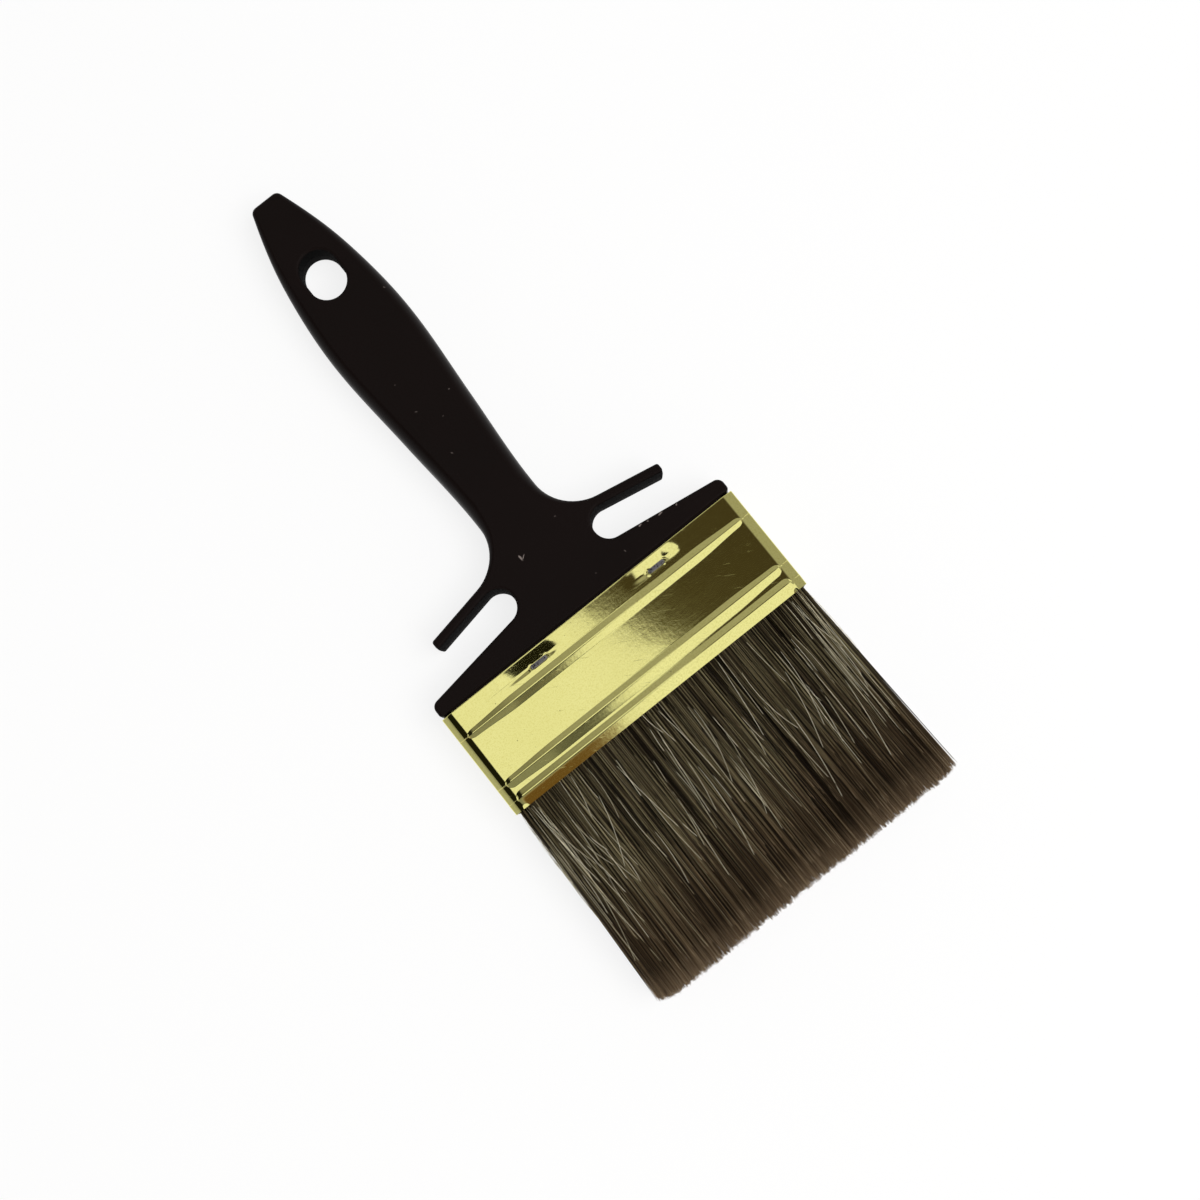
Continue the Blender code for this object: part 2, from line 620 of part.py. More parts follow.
def make_bristles(material, parent):
    row_inner = SPACER_OFFSET + SPACER_BERTH / 2
    middle_half = BRISTLE_ROW / 2
    row_half_length = SPACER_LENGTH / 2
    tuft_inner = row_half_length + CLEARANCE
    tip_outer = TIP_HALF_PACK_THICKNESS
    tip_inner = tip_outer / 3
    row_count = (round(SPACER_LENGTH / STRAND_PITCH), ROW_STRANDS)
    tuft_across = max(1, round((PACK_HALF_WIDTH - tuft_inner) / STRAND_PITCH))
    row_span = (-row_half_length, row_half_length)
    outer = PACK_HALF_THICKNESS
    blocks = [
        ("front_bristle_row", row_span, (row_inner, outer), (tip_inner, tip_outer), row_count),
        ("middle_bristle_row", row_span, (-middle_half, middle_half), (-tip_inner, tip_inner), row_count),
        ("rear_bristle_row", row_span, (-outer, -row_inner), (-tip_outer, -tip_inner), row_count),
    ]
    tuft_count = (tuft_across, TUFT_STRANDS)
    for name, low, high in (
        ("left_end_tuft", -PACK_HALF_WIDTH, -tuft_inner),
        ("right_end_tuft", tuft_inner, PACK_HALF_WIDTH),
    ):
        blocks.append((name, (low, high), (-outer, outer), (-tip_outer, tip_outer), tuft_count))
    for number, (name, x_span, z_root, z_tip, counts) in enumerate(blocks):
        make_bristle_block(name, x_span, z_root, z_tip, counts, material, parent, BRISTLE_SEED + number)


def main():
    clear_scene()
    plastic = make_material("black_plastic", (0.009, 0.006, 0.0055), 0.38)
    gilt = make_material("gilt_sheet", (0.76, 0.70, 0.27), 0.22, 1.0)
    wire = make_material("staple_wire", (0.24, 0.23, 0.25), 0.4, 1.0)
    resin = make_material("setting_resin", (0.42, 0.27, 0.10), 0.35)
    wood = make_material("spacer_wood", (0.55, 0.38, 0.21), 0.7)
    hair = make_material("bristle", (0.075, 0.052, 0.030), 0.55)

    brush = bpy.data.objects.new("brush_frame", None)
    bpy.context.scene.collection.objects.link(brush)
    brush.location = (0.0, -BRUSH_MIDDLE, REST_HEIGHT)

    handle = make_handle(plastic, brush)
    ferrule = make_ferrule(gilt, brush)
    leg_holes = make_staple_cutter(wire, brush)
    add_boolean(handle, make_dimple_cutter(wire, brush), "DIFFERENCE")
    add_boolean(handle, leg_holes, "DIFFERENCE")
    add_boolean(ferrule, leg_holes, "DIFFERENCE")
    make_staples(wire, brush)
    make_heel(resin, brush)
    make_spacers(wood, brush)
    make_bristles(hair, brush)


main()
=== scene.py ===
"""Looks of the flat wall brush: fine meshes, procedural materials, studio light and the camera.

Every piece is modelled about the middle of the ferrule's upper edge, as the construction is:
+X across the width, +Y towards the handle's tip and +Z up through the thickness. A drop is the
distance below that edge. Sizes are in millimetres and are turned into metres when a mesh is made.
"""
import math
from collections import namedtuple

import bmesh
import bpy
import numpy as np
from mathutils import Euler, Matrix, Vector, noise


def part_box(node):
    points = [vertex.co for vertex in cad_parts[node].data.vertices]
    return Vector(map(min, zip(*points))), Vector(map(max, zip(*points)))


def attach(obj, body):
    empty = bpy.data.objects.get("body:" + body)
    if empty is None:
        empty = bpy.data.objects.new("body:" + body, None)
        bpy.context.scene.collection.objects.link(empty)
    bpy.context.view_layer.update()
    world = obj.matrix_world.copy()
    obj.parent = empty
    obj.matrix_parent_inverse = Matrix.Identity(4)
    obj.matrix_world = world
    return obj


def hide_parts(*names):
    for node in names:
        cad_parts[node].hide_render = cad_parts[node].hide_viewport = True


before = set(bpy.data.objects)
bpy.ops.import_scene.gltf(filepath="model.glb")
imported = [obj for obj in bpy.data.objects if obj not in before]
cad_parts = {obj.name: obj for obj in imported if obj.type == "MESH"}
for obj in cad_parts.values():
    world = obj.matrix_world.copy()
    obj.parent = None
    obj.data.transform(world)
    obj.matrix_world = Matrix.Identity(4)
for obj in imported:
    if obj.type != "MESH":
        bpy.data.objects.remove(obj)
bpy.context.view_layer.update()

MM = 0.001

# Place of the brush in the frame
FERRULE_LOW, FERRULE_HIGH = (Vector(corner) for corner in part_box("ferrule"))
BRUSH_PLACE = Vector((0.0, FERRULE_HIGH.y, (FERRULE_LOW.z + FERRULE_HIGH.z) / 2))

# Camera: turned about the brush's place, then moved back from it
IMAGE_PIXELS = 1200
FOCAL_PIXELS = 1871.3
SENSOR_WIDTH = 36.0
CLIP_START = 0.01
CAMERA_TURN = [math.radians(angle) for angle in (-5.42, 1.42, 38.54)]
CAMERA_OFFSET = Vector((3.28, 2.016, 511.28))

# Ferrule
FERRULE_HALF_WIDTH = 49.8
FERRULE_HALF_THICKNESS = 8.1
BEVEL_START = 47.3
BEVEL_TILT = math.radians(27.0)
FACE_BEND = 3.8
SIDE_BEND = 0.45
BEND_STEP = math.radians(5.0)
SIDE_STEPS = 12
SHEET = 0.5
SHEET_EDGE = 0.12
BEAD_RISE = 0.68
UPPER_BEAD = (6.1, 7.95, 9.95)
LOWER_BEAD = (22.7, 24.35, 26.9)
LIP_BEAD = (27.6, 29.4)
LIP_END = 32.4
LIP_TUCK = 0.5
BEAD_ROUNDING = 0.5
CREST_ROUNDING = 0.9
BEAD_MARGIN = 0.25
BEAD_TAPER = (30.0, 46.0)
UPPER_BEAD_END = 0.65
LOWER_BEAD_END = 0.75
BEAD_PINCH = (44.8, 46.9)
BEAD_SIDE_SHARE = 0.08
PROFILE_STEP = math.radians(8.0)
INNER_ROW_STRIDE = 3
COARSE_STEP = 0.7
FINE_STEP = 0.24
FINE_REACH = 4.6
# Height and length of the waves in the sheet
SHEET_WAVES = [(0.016, 21.0), (0.003, 6.0)]

# Staples: x and drop of the left and the right one, on the front (1) and the back (-1)
STAPLE_PLACES = {1: ((-19.6, 4.1), (21.1, 3.6)), -1: ((-20.4, 4.0), (20.4, 4.0))}
STAPLE_HALF_LENGTH = 2.75
STAPLE_WIDTH = 1.25
STAPLE_THICKNESS = 0.75
STAPLE_TOP = 8.6
STAPLE_BOTTOM = 2.1
STAPLE_BEND = 0.6
STAPLE_BEND_STEP = math.radians(12.0)
STAPLE_EDGE = 0.165
POCKET_DEPTH = 0.4
POCKET_HALF_LENGTH = 12.0
# Dimples round the left and the right staple: slope, ends of the even part and run-outs past them
DIMPLES = ((0.115, (-2.4, 2.6), (20.0, 8.0)), (0.1125, (-4.2, 2.4), (6.2, 6.2)))
DIMPLE_ABOVE_WIRE = 0.6
DIMPLE_BELOW_WIRE = 1.2
# Torn holes at a staple's legs: radius, spread and rise of the rim, and the sink inside it
HOLE_OUT = 2.6
HOLE_RIM = (0.6, 0.25, 0.05)
HOLE_SINK = 0.15
HOLE_SINK_EDGE = (0.24, 0.48)

# Handle
HANDLE_LENGTH = 144.9
HEAD_THICKNESS = 15.6
TIP_THICKNESS = 10.4
SEAT_HEIGHT = 0.3
SEAT_CORNER = 1.2
SHOULDER_HEIGHT = 4.9
SHOULDER_SLOPE = math.tan(math.radians(8.5))
SHOULDER_CORNER = 2.4
HOOK_TIP_X = 39.2
HOOK_MOUTH = 8.9
HOOK_SLOPE_ANGLE = math.radians(10.8)
HOOK_BLADE = 3.0
HOOK_TIP_RADIUS = 1.0
SLOT_END_X = 14.3
SLOT_RADIUS = 4.62
WAIST_HALF_WIDTH = 9.8
NECK_FILLET = 13.5
# Height, half width and slope of the half width along the grip
GRIP_STATIONS = [
    (37.2, 9.8, 0.0),
    (66.5, 11.6, 0.065),
    (95.9, 13.4, 0.0),
    (121.7, 11.0, -0.17),
    (139.3, 6.5, -0.33),
]
GRIP_STEPS = 22
TIP_HALF_WIDTH = 4.6
TIP_CORNER = 2.2
HOLE_HEIGHT = 117.6
HOLE_RADIUS = 5.45
HOLE_STRAIGHT = 3.8
MOULD_DRAFT = math.tan(math.radians(1.5))
PARTING_GROOVE = 0.12
# Height, and width and depth of the rounding between wall and face there
EDGE_STATIONS = [
    (0.0, 0.8, 0.8),
    (24.0, 0.9, 0.9),
    (40.0, 3.2, 5.2),
    (62.0, 3.2, 5.4),
    (110.0, 2.8, 4.4),
    (136.0, 1.6, 2.2),
    (144.9, 1.0, 1.0),
]
HOLE_EDGE = (0.8, 0.8)
EDGE_TURN = math.radians(82.0)
EDGE_STEPS = 10
EDGE_WALL_SHARE = 0.5
FLAT_RIM = 0.06
# Heights and half widths over which the matt walls darkened with painted shade give way to glossy ones
MATT_SHADE_END_HEIGHTS = (24.0, 34.0)
MATT_SHADE_END_WIDTHS = (42.0, 46.0)
ARC_STEP = math.radians(6.0)
TONGUE_DEPTH = 11.0
TONGUE_GAP = 0.3

# Pale marks on the handle, part scuffs and part painted highlights on small dents: place, half length, half
# width, turn in degrees and strength
SCUFFS_AND_DENT_HIGHLIGHTS = [
    (-6.0, 21.2, 0.95, 0.3, 84.0, 1.0),
    (-5.3, 20.9, 0.85, 0.16, -35.0, 0.9),
    (7.5, 70.1, 0.25, 0.2, 0.0, 0.4),
    (-3.5, 70.8, 0.5, 0.16, 30.0, 0.3),
    (-2.8, 55.6, 0.45, 0.2, 50.0, 0.3),
    (1.6, 65.2, 0.3, 0.16, -20.0, 0.2),
    (-3.4, 80.3, 0.25, 0.16, 0.0, 0.2),
    (8.3, 24.3, 0.35, 0.2, 20.0, 0.25),
    (7.3, 5.2, 0.3, 0.2, 0.0, 0.2),
    (17.2, 5.0, 0.4, 0.18, 70.0, 0.35),
    (24.7, 7.9, 0.6, 0.24, -10.0, 1.0),
    (27.0, 7.5, 0.3, 0.2, 40.0, 0.8),
    (31.0, 7.0, 0.8, 0.24, -10.0, 1.0),
    (35.9, 6.2, 0.4, 0.22, -50.0, 0.8),
    (11.1, 104.0, 0.4, 0.2, 60.0, 0.3),
]
SCUFF_AND_HIGHLIGHT_EDGE = (1.7, 1.0)
SCUFF_AND_HIGHLIGHT_LOWEST = 2.0

# Bristle pack
MOUTH_DROP = 32.4
BRISTLE_ROOT_DROP = 21.8
BRISTLE_TIP_DROP = 96.4
PACK_HALF_WIDTH = 48.5
PACK_HALF_THICKNESS = 7.0
TIP_HALF_WIDTH_PACK = 50.4
TIP_HALF_THICKNESS_PACK = 5.6
ROW_END = 41.7
MIDDLE_ROW_HALF = 2.4
PACK_SWELL = 0.45
SWELL_POWER = 0.7
BRISTLE_SEED = 11

# Strands, drawn together in locks and cut to ragged teeth
STRAND_RADIUS = 0.13
RADIUS_SPREAD = (0.7, 1.25)
STRAND_TAPER = 0.2
TIP_TAPER = 0.45
TIP_TAPER_POWER = 8
STRAND_POINTS = 7
STRAND_SHARES = np.linspace(0.0, 1.0, STRAND_POINTS)
STRAND_DRIFT = 0.2
STRAND_SWAY = 0.1
SWAY_TURNS = (0.8, 2.0)
LEAN_POWER = 1.15
LOCK_WIDTH = 0.42
LOCK_LAYER = 0.7
LOCK_GATHER = (0.2, 0.75)
GATHER_RATE = 3.5
LOCK_DRIFT = 0.8
TIP_HEIGHT_SPREAD = 0.3
TIP_RAGGEDNESS = 1.1
TOOTH_WIDTH = 0.9
TOOTH_LAYER = 2.3
TOOTH_LENGTH = 1.3
END_SHORTENING = 1.6
END_POWER = 24
# Keys of the scattered values: a layer's shift, and a lock's drift and tint
SHIFT_KEY, DRIFT_KEY, TINT_KEY = 3.0, 7.0, 11.0

# Tints: 0 is the darkest strand, and the loose hairs use the pale end past the strands' top
STRAND_TINTS = 64
TINT_MARGIN = 0.1
TINT_SCALE = 0.85
TINT_TOP = 0.84
TINT_SPREAD = 0.08
LOCK_TINT_POWER = 1.25
LOCK_TINT_SHARE = 0.7
ODD_TINT_SHAPE = (0.7, 0.95)

# Loose hairs on the pack's front, starting past the mouth, and beside its short sides
Hairs = namedtuple("Hairs", "count starts lengths turn bow lift radius tints")
FRONT_HAIR_SPAN = (-46.0, 46.0)
FRONT_HAIRS = [
    # The first group's mid to pale tints make the hairs lying on top lighter: partly their own colour,
    # partly painted highlight
    Hairs(200, (-1.0, 28.0), (16.0, 50.0), 0.015, 0.012, 0.2, 0.075, (0.55, 0.88)),
    Hairs(80, (-1.0, 28.0), (6.0, 28.0), 0.07, 0.1, 0.7, 0.065, (0.93, 1.0)),
]
SIDE_HAIR_SPAN = (43.0, 48.4)
SIDE_HAIRS = [Hairs(15, (-1.0, 14.0), (10.0, 45.0), 0.03, 0.03, 0.5, 0.055, (0.88, 0.98))]
LOOSE_END_DROP = 91.0
HAIR_CLEARANCE = 0.25
HAIR_LIFT_SPREAD = (0.4, 1.0)
HAIR_LIFT_END = 0.85
HAIR_LIFT_RATE = 8.0
EDGE_HAIR_COUNT = 24
EDGE_HAIR_STARTS = (-2.0, 16.0)
EDGE_HAIR_REACH = (0.2, 0.7)
EDGE_HAIR_AWAY = (0.1, 0.9)
EDGE_HAIR_SINK = 0.1
EDGE_HAIR_BOW = 0.8
EDGE_HAIR_HEIGHTS = (-4.0, 6.0)
EDGE_HAIR_CLOSING = 0.15
EDGE_HAIR_RADIUS = 0.06
EDGE_HAIR_TINTS = (0.9, 1.0)

# Floor and lamp, in metres
FLOOR_HALF_SIZE = 15.0
FLOOR_Z = -0.0002
FLOOR_COLOUR = (0.95, 0.95, 0.95, 1.0)
FLOOR_FADE = (0.3, 1.0)
FLOOR_WHITE = (0.82, 1.0)
KEY_SIZE = 0.9
KEY_ENERGY = 10.0
KEY_PLACE = Vector((0.30, -0.35, 1.15))

# Room round the brush: a level and (measure, unlit, lit) edges for each bright part. x and z are
# a direction's own, its leans are its x and y over its z, and the other measures run across a slant.
LOWEST_Z = 0.02
RIGHT_WALL_WAY = (0.91, 0.42, 0.0)
PANEL_WAY = (0.865, 0.5, 0.0)
WINDOW_SLANT = 0.08
WINDOW_SLANT_END = -0.6
CORNER_SLANT = 1.57
RIGHT_WALL = (0.37, [("right_wall", 0.1, 0.32), ("z", 0.975, 0.87)])
LEFT_WALL = (0.48, [("x", 0.1, -0.1), ("z", 0.6, 0.52)])
PANEL_LEVEL = 0.97
PANEL_PARTS = [
    [("panel", 0.0665, 0.058)],
    [("lean_x", 0.02, -0.03)],
    [("lean_x", 0.055, 0.035), ("lean_y", 0.11, 0.15)],
]
PANEL_ENDS = [("lean_y", -0.05, 0.0), ("lean_y", 0.7, 0.5), ("lean_x", -0.22, -0.14)]
WINDOW = (1.0, [("window", 0.025, 0.045), ("lean_y", -0.05, -0.1), ("lean_x", 1.3, 1.0)])
CORNER = (1.0, [("corner", -0.155, -0.14), ("lean_y", 0.02, -0.02), ("lean_x", 0.1, 0.05)])
HORIZON = (0.97, [("z", 0.38, 0.29)])
GLOW_LEVELS = (0.1, 0.26)
GLOW_LEFT = [("lean_x", -0.03, -0.08)]
GLOW_ENDS = [("lean_y", -0.3, -0.45), ("lean_y", -0.85, -0.75)]
BLACK_NEAR = [("lean_y", -0.01, -0.05), ("lean_x", 0.04, 0.0)]
BLACK_LEFT = [("lean_x", -0.1, -0.2)]
BROWN_LOW = [("lean_y", -0.6, -0.8)]


def smooth_step(start, end, value):
    share = min(max((value - start) / (end - start), 0.0), 1.0)
    return share * share * (3.0 - 2.0 * share)


def rounded_path(corners, step=ARC_STEP):
    """Replace each inner (x, y, radius) corner of an open path by points along its arc."""
    path = [Vector(corners[0][:2])]
    for before, here, after in zip(corners, corners[1:], corners[2:]):
        corner, radius = Vector(here[:2]), here[2]
        if radius == 0.0:
            path.append(corner)
            continue
        back = (Vector(before[:2]) - corner).normalized()
        ahead = (Vector(after[:2]) - corner).normalized()
        half = back.angle(ahead) / 2
        centre = corner + (back + ahead).normalized() * radius / math.sin(half)
        first = corner + back * radius / math.tan(half) - centre
        last = corner + ahead * radius / math.tan(half) - centre
        sweep = first.angle_signed(last)
        steps = max(2, math.ceil(abs(sweep) / step))
        for number in range(steps + 1):
            path.append(centre + Matrix.Rotation(-sweep * number / steps, 2) @ first)
    path.append(Vector(corners[-1][:2]))
    return path


def add_object(name, data, place=(0.0, 0.0, 0.0)):
    made = bpy.data.objects.new(name, data)
    made.location = place
    bpy.context.scene.collection.objects.link(made)
    return made


def add_piece(name, mesh, node, material, smooth_angle=None):
    """Put a finished mesh in the frame as a piece that stands for one node of the construction."""
    mesh.materials.append(material)
    mesh.shade_smooth()
    if smooth_angle:
        mesh.set_sharp_from_angle(angle=math.radians(smooth_angle))
    piece = add_object(name, mesh, BRUSH_PLACE)
    bpy.context.view_layer.update()
    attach(piece, "root")
    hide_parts(node)
    return piece


def finished_mesh(name, bm):
    bmesh.ops.recalc_face_normals(bm, faces=bm.faces[:])
    bmesh.ops.scale(bm, vec=(MM, MM, MM), verts=bm.verts[:])
    mesh = bpy.data.meshes.new(name)
    bm.to_mesh(mesh)
    bm.free()
    return mesh


def bridge_rings(bm, rings, closed=False):
    """Join each ring of vertices to the next, and the last to the first if closed."""
    pairs = list(zip(rings, rings[1:]))
    if closed:
        pairs.append((rings[-1], rings[0]))
    for lower, upper in pairs:
        for i in range(len(lower)):
            j = (i + 1) % len(lower)
            bm.faces.new((lower[i], lower[j], upper[j], upper[i]))


# Node helpers


def add_node(tree, kind, inputs=None, **settings):
    """Add a shader node, set its properties, and set or link its inputs."""
    made = tree.nodes.new(f"ShaderNode{kind}")
    for key, value in settings.items():
        setattr(made, key, value)
    for key, value in (inputs or {}).items():
        if isinstance(value, bpy.types.NodeSocket):
            tree.links.new(value, made.inputs[key])
        else:
            made.inputs[key].default_value = value
    return made


def math_node(tree, operation, first, *others):
    """The operation applied to the first value and each of the others in turn."""
    result = first
    for other in others:
        result = add_node(tree, "Math", {0: result, 1: other}, operation=operation).outputs[0]
    return result


def times(tree, *factors):
    return math_node(tree, "MULTIPLY", *factors)


def vector_node(tree, operation, first, second=(0.0, 0.0, 0.0)):
    made = add_node(tree, "VectorMath", {0: first, 1: second}, operation=operation)
    return made.outputs["Value" if operation in ("LENGTH", "DOT_PRODUCT") else "Vector"]


def eased(tree, value, start, end):
    """0 before start, 1 past end, eased between them."""
    inputs = {"Value": value, "From Min": start, "From Max": end}
    return add_node(tree, "MapRange", inputs, interpolation_type="SMOOTHSTEP").outputs[0]


def between(tree, value, low, high):
    """A 0 to 1 value taken to low to high."""
    inputs = {"Value": value, "To Min": low, "To Max": high}
    return add_node(tree, "MapRange", inputs).outputs[0]


def mix_colours(tree, share, first, second):
    made = add_node(tree, "Mix", data_type="RGBA")
    tree.links.new(share, made.inputs[0])
    for socket, colour in ((made.inputs[6], first), (made.inputs[7], second)):
        if isinstance(colour, bpy.types.NodeSocket):
            tree.links.new(colour, socket)
        else:
            socket.default_value = (*colour, 1.0)
    return made.outputs[2]


def ramp(tree, value, places, colours):
    made = add_node(tree, "ValToRGB", {"Fac": value})
    elements = made.color_ramp.elements
    while len(elements) < len(places):
        elements.new(0.5)
    for element, place, colour in zip(elements, places, colours):
        element.position = place
        element.color = (*colour, 1.0)
    return made.outputs[0]


def millimetres(tree, stretch=(1.0, 1.0, 1.0)):
    """The piece's own coordinates in millimetres, stretched along each axis."""
    place = add_node(tree, "TexCoord").outputs["Object"]
    scale = tuple(1.0 / (MM * s) for s in stretch)
    return add_node(tree, "Mapping", {"Vector": place, "Scale": scale}).outputs[0]


def noise_node(tree, place, scale, detail=2.0, roughness=0.5):
    inputs = {"Vector": place, "Scale": scale, "Detail": detail, "Roughness": roughness}
    return add_node(tree, "TexNoise", inputs).outputs[0]


def spots(tree, place, scale, size_scale, sizes):
    """1 inside round spots scattered at random, of uneven size."""
    cells = add_node(tree, "TexVoronoi", {"Vector": place, "Scale": scale, "Randomness": 1.0})
    size = between(tree, noise_node(tree, place, size_scale), *sizes)
    return math_node(tree, "LESS_THAN", cells.outputs["Distance"], size)


def new_material(name, colour, **sockets):
    material = bpy.data.materials.new(name)
    material.use_nodes = True
    shader = material.node_tree.nodes["Principled BSDF"]
    material.diffuse_color = (*colour, 1.0)
    for key, value in sockets.items():
        shader.inputs[key.replace("_", " ")].default_value = value
    return material, material.node_tree, shader


def wire(tree, shader, colour, roughness, relief=None, strength=0.0, distance=0.0):
    """Link a material's colour and roughness to its shader, and its relief as a bump."""
    tree.links.new(colour, shader.inputs["Base Color"])
    tree.links.new(roughness, shader.inputs["Roughness"])
    if relief is not None:
        inputs = {"Height": relief, "Strength": strength, "Distance": distance}
        made = add_node(tree, "Bump", inputs)
        tree.links.new(made.outputs[0], shader.inputs["Normal"])


# Materials


def scuff_and_highlight_marks(tree, place):
    """Strength of the pale marks on the handle's upper side, with broken edges: part scuffs, part painted
    highlights on small dents.
    """
    ragged = noise_node(tree, place, scale=3.0)
    marks = 0.0
    for x, y, half_length, half_width, angle, strength in SCUFFS_AND_DENT_HIGHLIGHTS:
        moved = vector_node(tree, "SUBTRACT", place, (x, y, 0.0))
        turn = {"Vector": moved, "Angle": math.radians(angle)}
        turned = add_node(tree, "VectorRotate", turn, rotation_type="Z_AXIS").outputs[0]
        scaled = vector_node(tree, "MULTIPLY", turned, (1.0 / half_length, 1.0 / half_width, 0.0))
        far = math_node(tree, "ADD", vector_node(tree, "LENGTH", scaled), ragged)
        mark = times(tree, eased(tree, far, *SCUFF_AND_HIGHLIGHT_EDGE), strength)
        marks = math_node(tree, "MAXIMUM", marks, mark)
    height = add_node(tree, "SeparateXYZ", {0: place}).outputs[2]
    return times(tree, marks, math_node(tree, "GREATER_THAN", height, SCUFF_AND_HIGHLIGHT_LOWEST))


def handle_plastic():
    """Satin dark plastic: fine mould grain, matt side walls darkened with painted shade, and a few pale
    marks, part scuffs and part painted highlights on small dents.
    """
    material, tree, shader = new_material("handle_plastic", (0.005, 0.004, 0.0035), Specular_IOR_Level=0.06)
    deep, brown, wall_painted_shade = (0.0053, 0.0037, 0.0032), (0.0076, 0.0046, 0.0042), (0.0015, 0.0012, 0.0012)
    scuff_and_highlight_colour = (0.20, 0.165, 0.15)
    speck_strength, wall_roughness = 0.1, 0.55
    place = millimetres(tree)
    cloud = noise_node(tree, place, scale=0.04)
    grain = noise_node(tree, place, scale=2.6, detail=3.0, roughness=0.6)
    wall = add_node(tree, "Attribute", attribute_name="wall").outputs["Fac"]
    body = mix_colours(tree, cloud, deep, brown)
    # Painted shade: the walls' colour is darkened towards black by the wall share
    body = mix_colours(tree, wall, body, wall_painted_shade)

    specks = spots(tree, place, scale=0.16, size_scale=0.11, sizes=(-0.01, 0.05))
    specks = times(tree, specks, speck_strength)
    marks = math_node(tree, "MAXIMUM", specks, scuff_and_highlight_marks(tree, place))
    # Pale marks: part scuffs, part painted highlights on small dents
    colour = mix_colours(tree, marks, body, scuff_and_highlight_colour)
    rough = between(tree, cloud, low=0.30, high=0.38)
    uneven = between(tree, grain, low=-0.04, high=0.06)
    rough = math_node(tree, "ADD", rough, uneven, times(tree, wall, wall_roughness))
    wire(tree, shader, colour, rough, grain, strength=0.12, distance=0.0001)
    return material


def gilt_sheet():
    """Polished gilt sheet metal: rolling lines, mottled lacquer, fine scratches, tarnish spots."""
    material, tree, shader = new_material("gilt_sheet", (0.8, 0.76, 0.29), Metallic=1.0)
    gilt, pale_gilt, mottled = (0.80, 0.755, 0.27), (0.85, 0.81, 0.32), (0.75, 0.70, 0.24)
    tarnished = (0.30, 0.25, 0.10)
    tarnish_strength, tarnish_roughness, scratch_roughness, line_relief = 0.4, 0.5, 0.12, 0.5
    place = millimetres(tree)
    lines = noise_node(tree, millimetres(tree, (14.0, 1.0, 1.0)), scale=1.7, detail=4.0, roughness=0.65)
    cloud = noise_node(tree, place, scale=0.09, detail=3.0)
    peel = noise_node(tree, place, scale=0.8)
    mottle = noise_node(tree, place, scale=2.2, detail=3.0, roughness=0.6)
    tone = mix_colours(tree, cloud, gilt, pale_gilt)
    tone = mix_colours(tree, eased(tree, mottle, start=0.42, end=0.7), tone, mottled)

    # Short scratches, thin across and long along one slanted direction
    turn = {"Vector": place, "Angle": 0.5}
    slanted = add_node(tree, "VectorRotate", turn, rotation_type="Z_AXIS").outputs[0]
    stretched = add_node(tree, "Mapping", {"Vector": slanted, "Scale": (0.12, 2.2, 1.0)}).outputs[0]
    scratch = eased(tree, noise_node(tree, stretched, scale=1.0), start=0.66, end=0.74)

    tarnish = spots(tree, place, scale=0.3, size_scale=0.2, sizes=(-0.02, 0.1))
    tarnish = times(tree, tarnish, tarnish_strength)
    colour = mix_colours(tree, tarnish, tone, tarnished)
    rough = between(tree, lines, low=0.03, high=0.09)
    dulled = times(tree, tarnish, tarnish_roughness)
    scratched = times(tree, scratch, scratch_roughness)
    rough = math_node(tree, "ADD", rough, dulled, scratched)
    relief = math_node(tree, "ADD", times(tree, lines, line_relief), peel)
    wire(tree, shader, colour, rough, relief, strength=1.0, distance=0.000003)
    return material


def staple_wire():
    """Dull drawn steel wire, darker in its grooves."""
    material, tree, shader = new_material("staple_wire", (0.13, 0.125, 0.14), Metallic=1.0)
    dull, bright, grime = (0.16, 0.155, 0.17), (0.36, 0.35, 0.37), (0.06, 0.05, 0.045)
    drawn = noise_node(tree, millimetres(tree, (6.0, 0.25, 0.25)), scale=1.2, detail=3.0)
    dirt = noise_node(tree, millimetres(tree), scale=1.6, detail=3.0)
    steel = mix_colours(tree, drawn, dull, bright)
    colour = mix_colours(tree, eased(tree, dirt, start=0.5, end=0.7), steel, grime)
    rough = between(tree, dirt, low=0.3, high=0.6)
    wire(tree, shader, colour, rough, drawn, strength=0.2, distance=0.00005)
    return material


def setting_resin():
    """Amber cast resin with clouds and small bubbles."""
    material, tree, shader = new_material("setting_resin", (0.42, 0.27, 0.10))
    dark_amber, pale_amber = (0.26, 0.15, 0.05), (0.52, 0.36, 0.15)
    place = millimetres(tree)
    cloud = noise_node(tree, place, scale=0.12, detail=4.0)
    colour = mix_colours(tree, cloud, dark_amber, pale_amber)
    rough = between(tree, cloud, low=0.25, high=0.45)
    bubbles = add_node(tree, "TexVoronoi", {"Vector": place, "Scale": 0.8}).outputs["Distance"]
    bubbles = eased(tree, bubbles, start=0.1, end=0.25)
    wire(tree, shader, colour, rough, bubbles, strength=0.4, distance=0.0002)
    return material


def spacer_wood():
    """Pale sawn softwood, with its grain along the strip."""
    material, tree, shader = new_material("spacer_wood", (0.55, 0.38, 0.21))
    places, tones = (0.3, 0.55, 0.75), [(0.36, 0.22, 0.11), (0.56, 0.39, 0.21), (0.66, 0.5, 0.3)]
    along = millimetres(tree, (16.0, 1.0, 1.0))
    grain = noise_node(tree, along, scale=0.9, detail=5.0, roughness=0.6)
    fibres = noise_node(tree, along, scale=4.5)
    rough = between(tree, fibres, low=0.6, high=0.85)
    wire(tree, shader, ramp(tree, grain, places, tones), rough, fibres, strength=0.5, distance=0.0001)
    return material


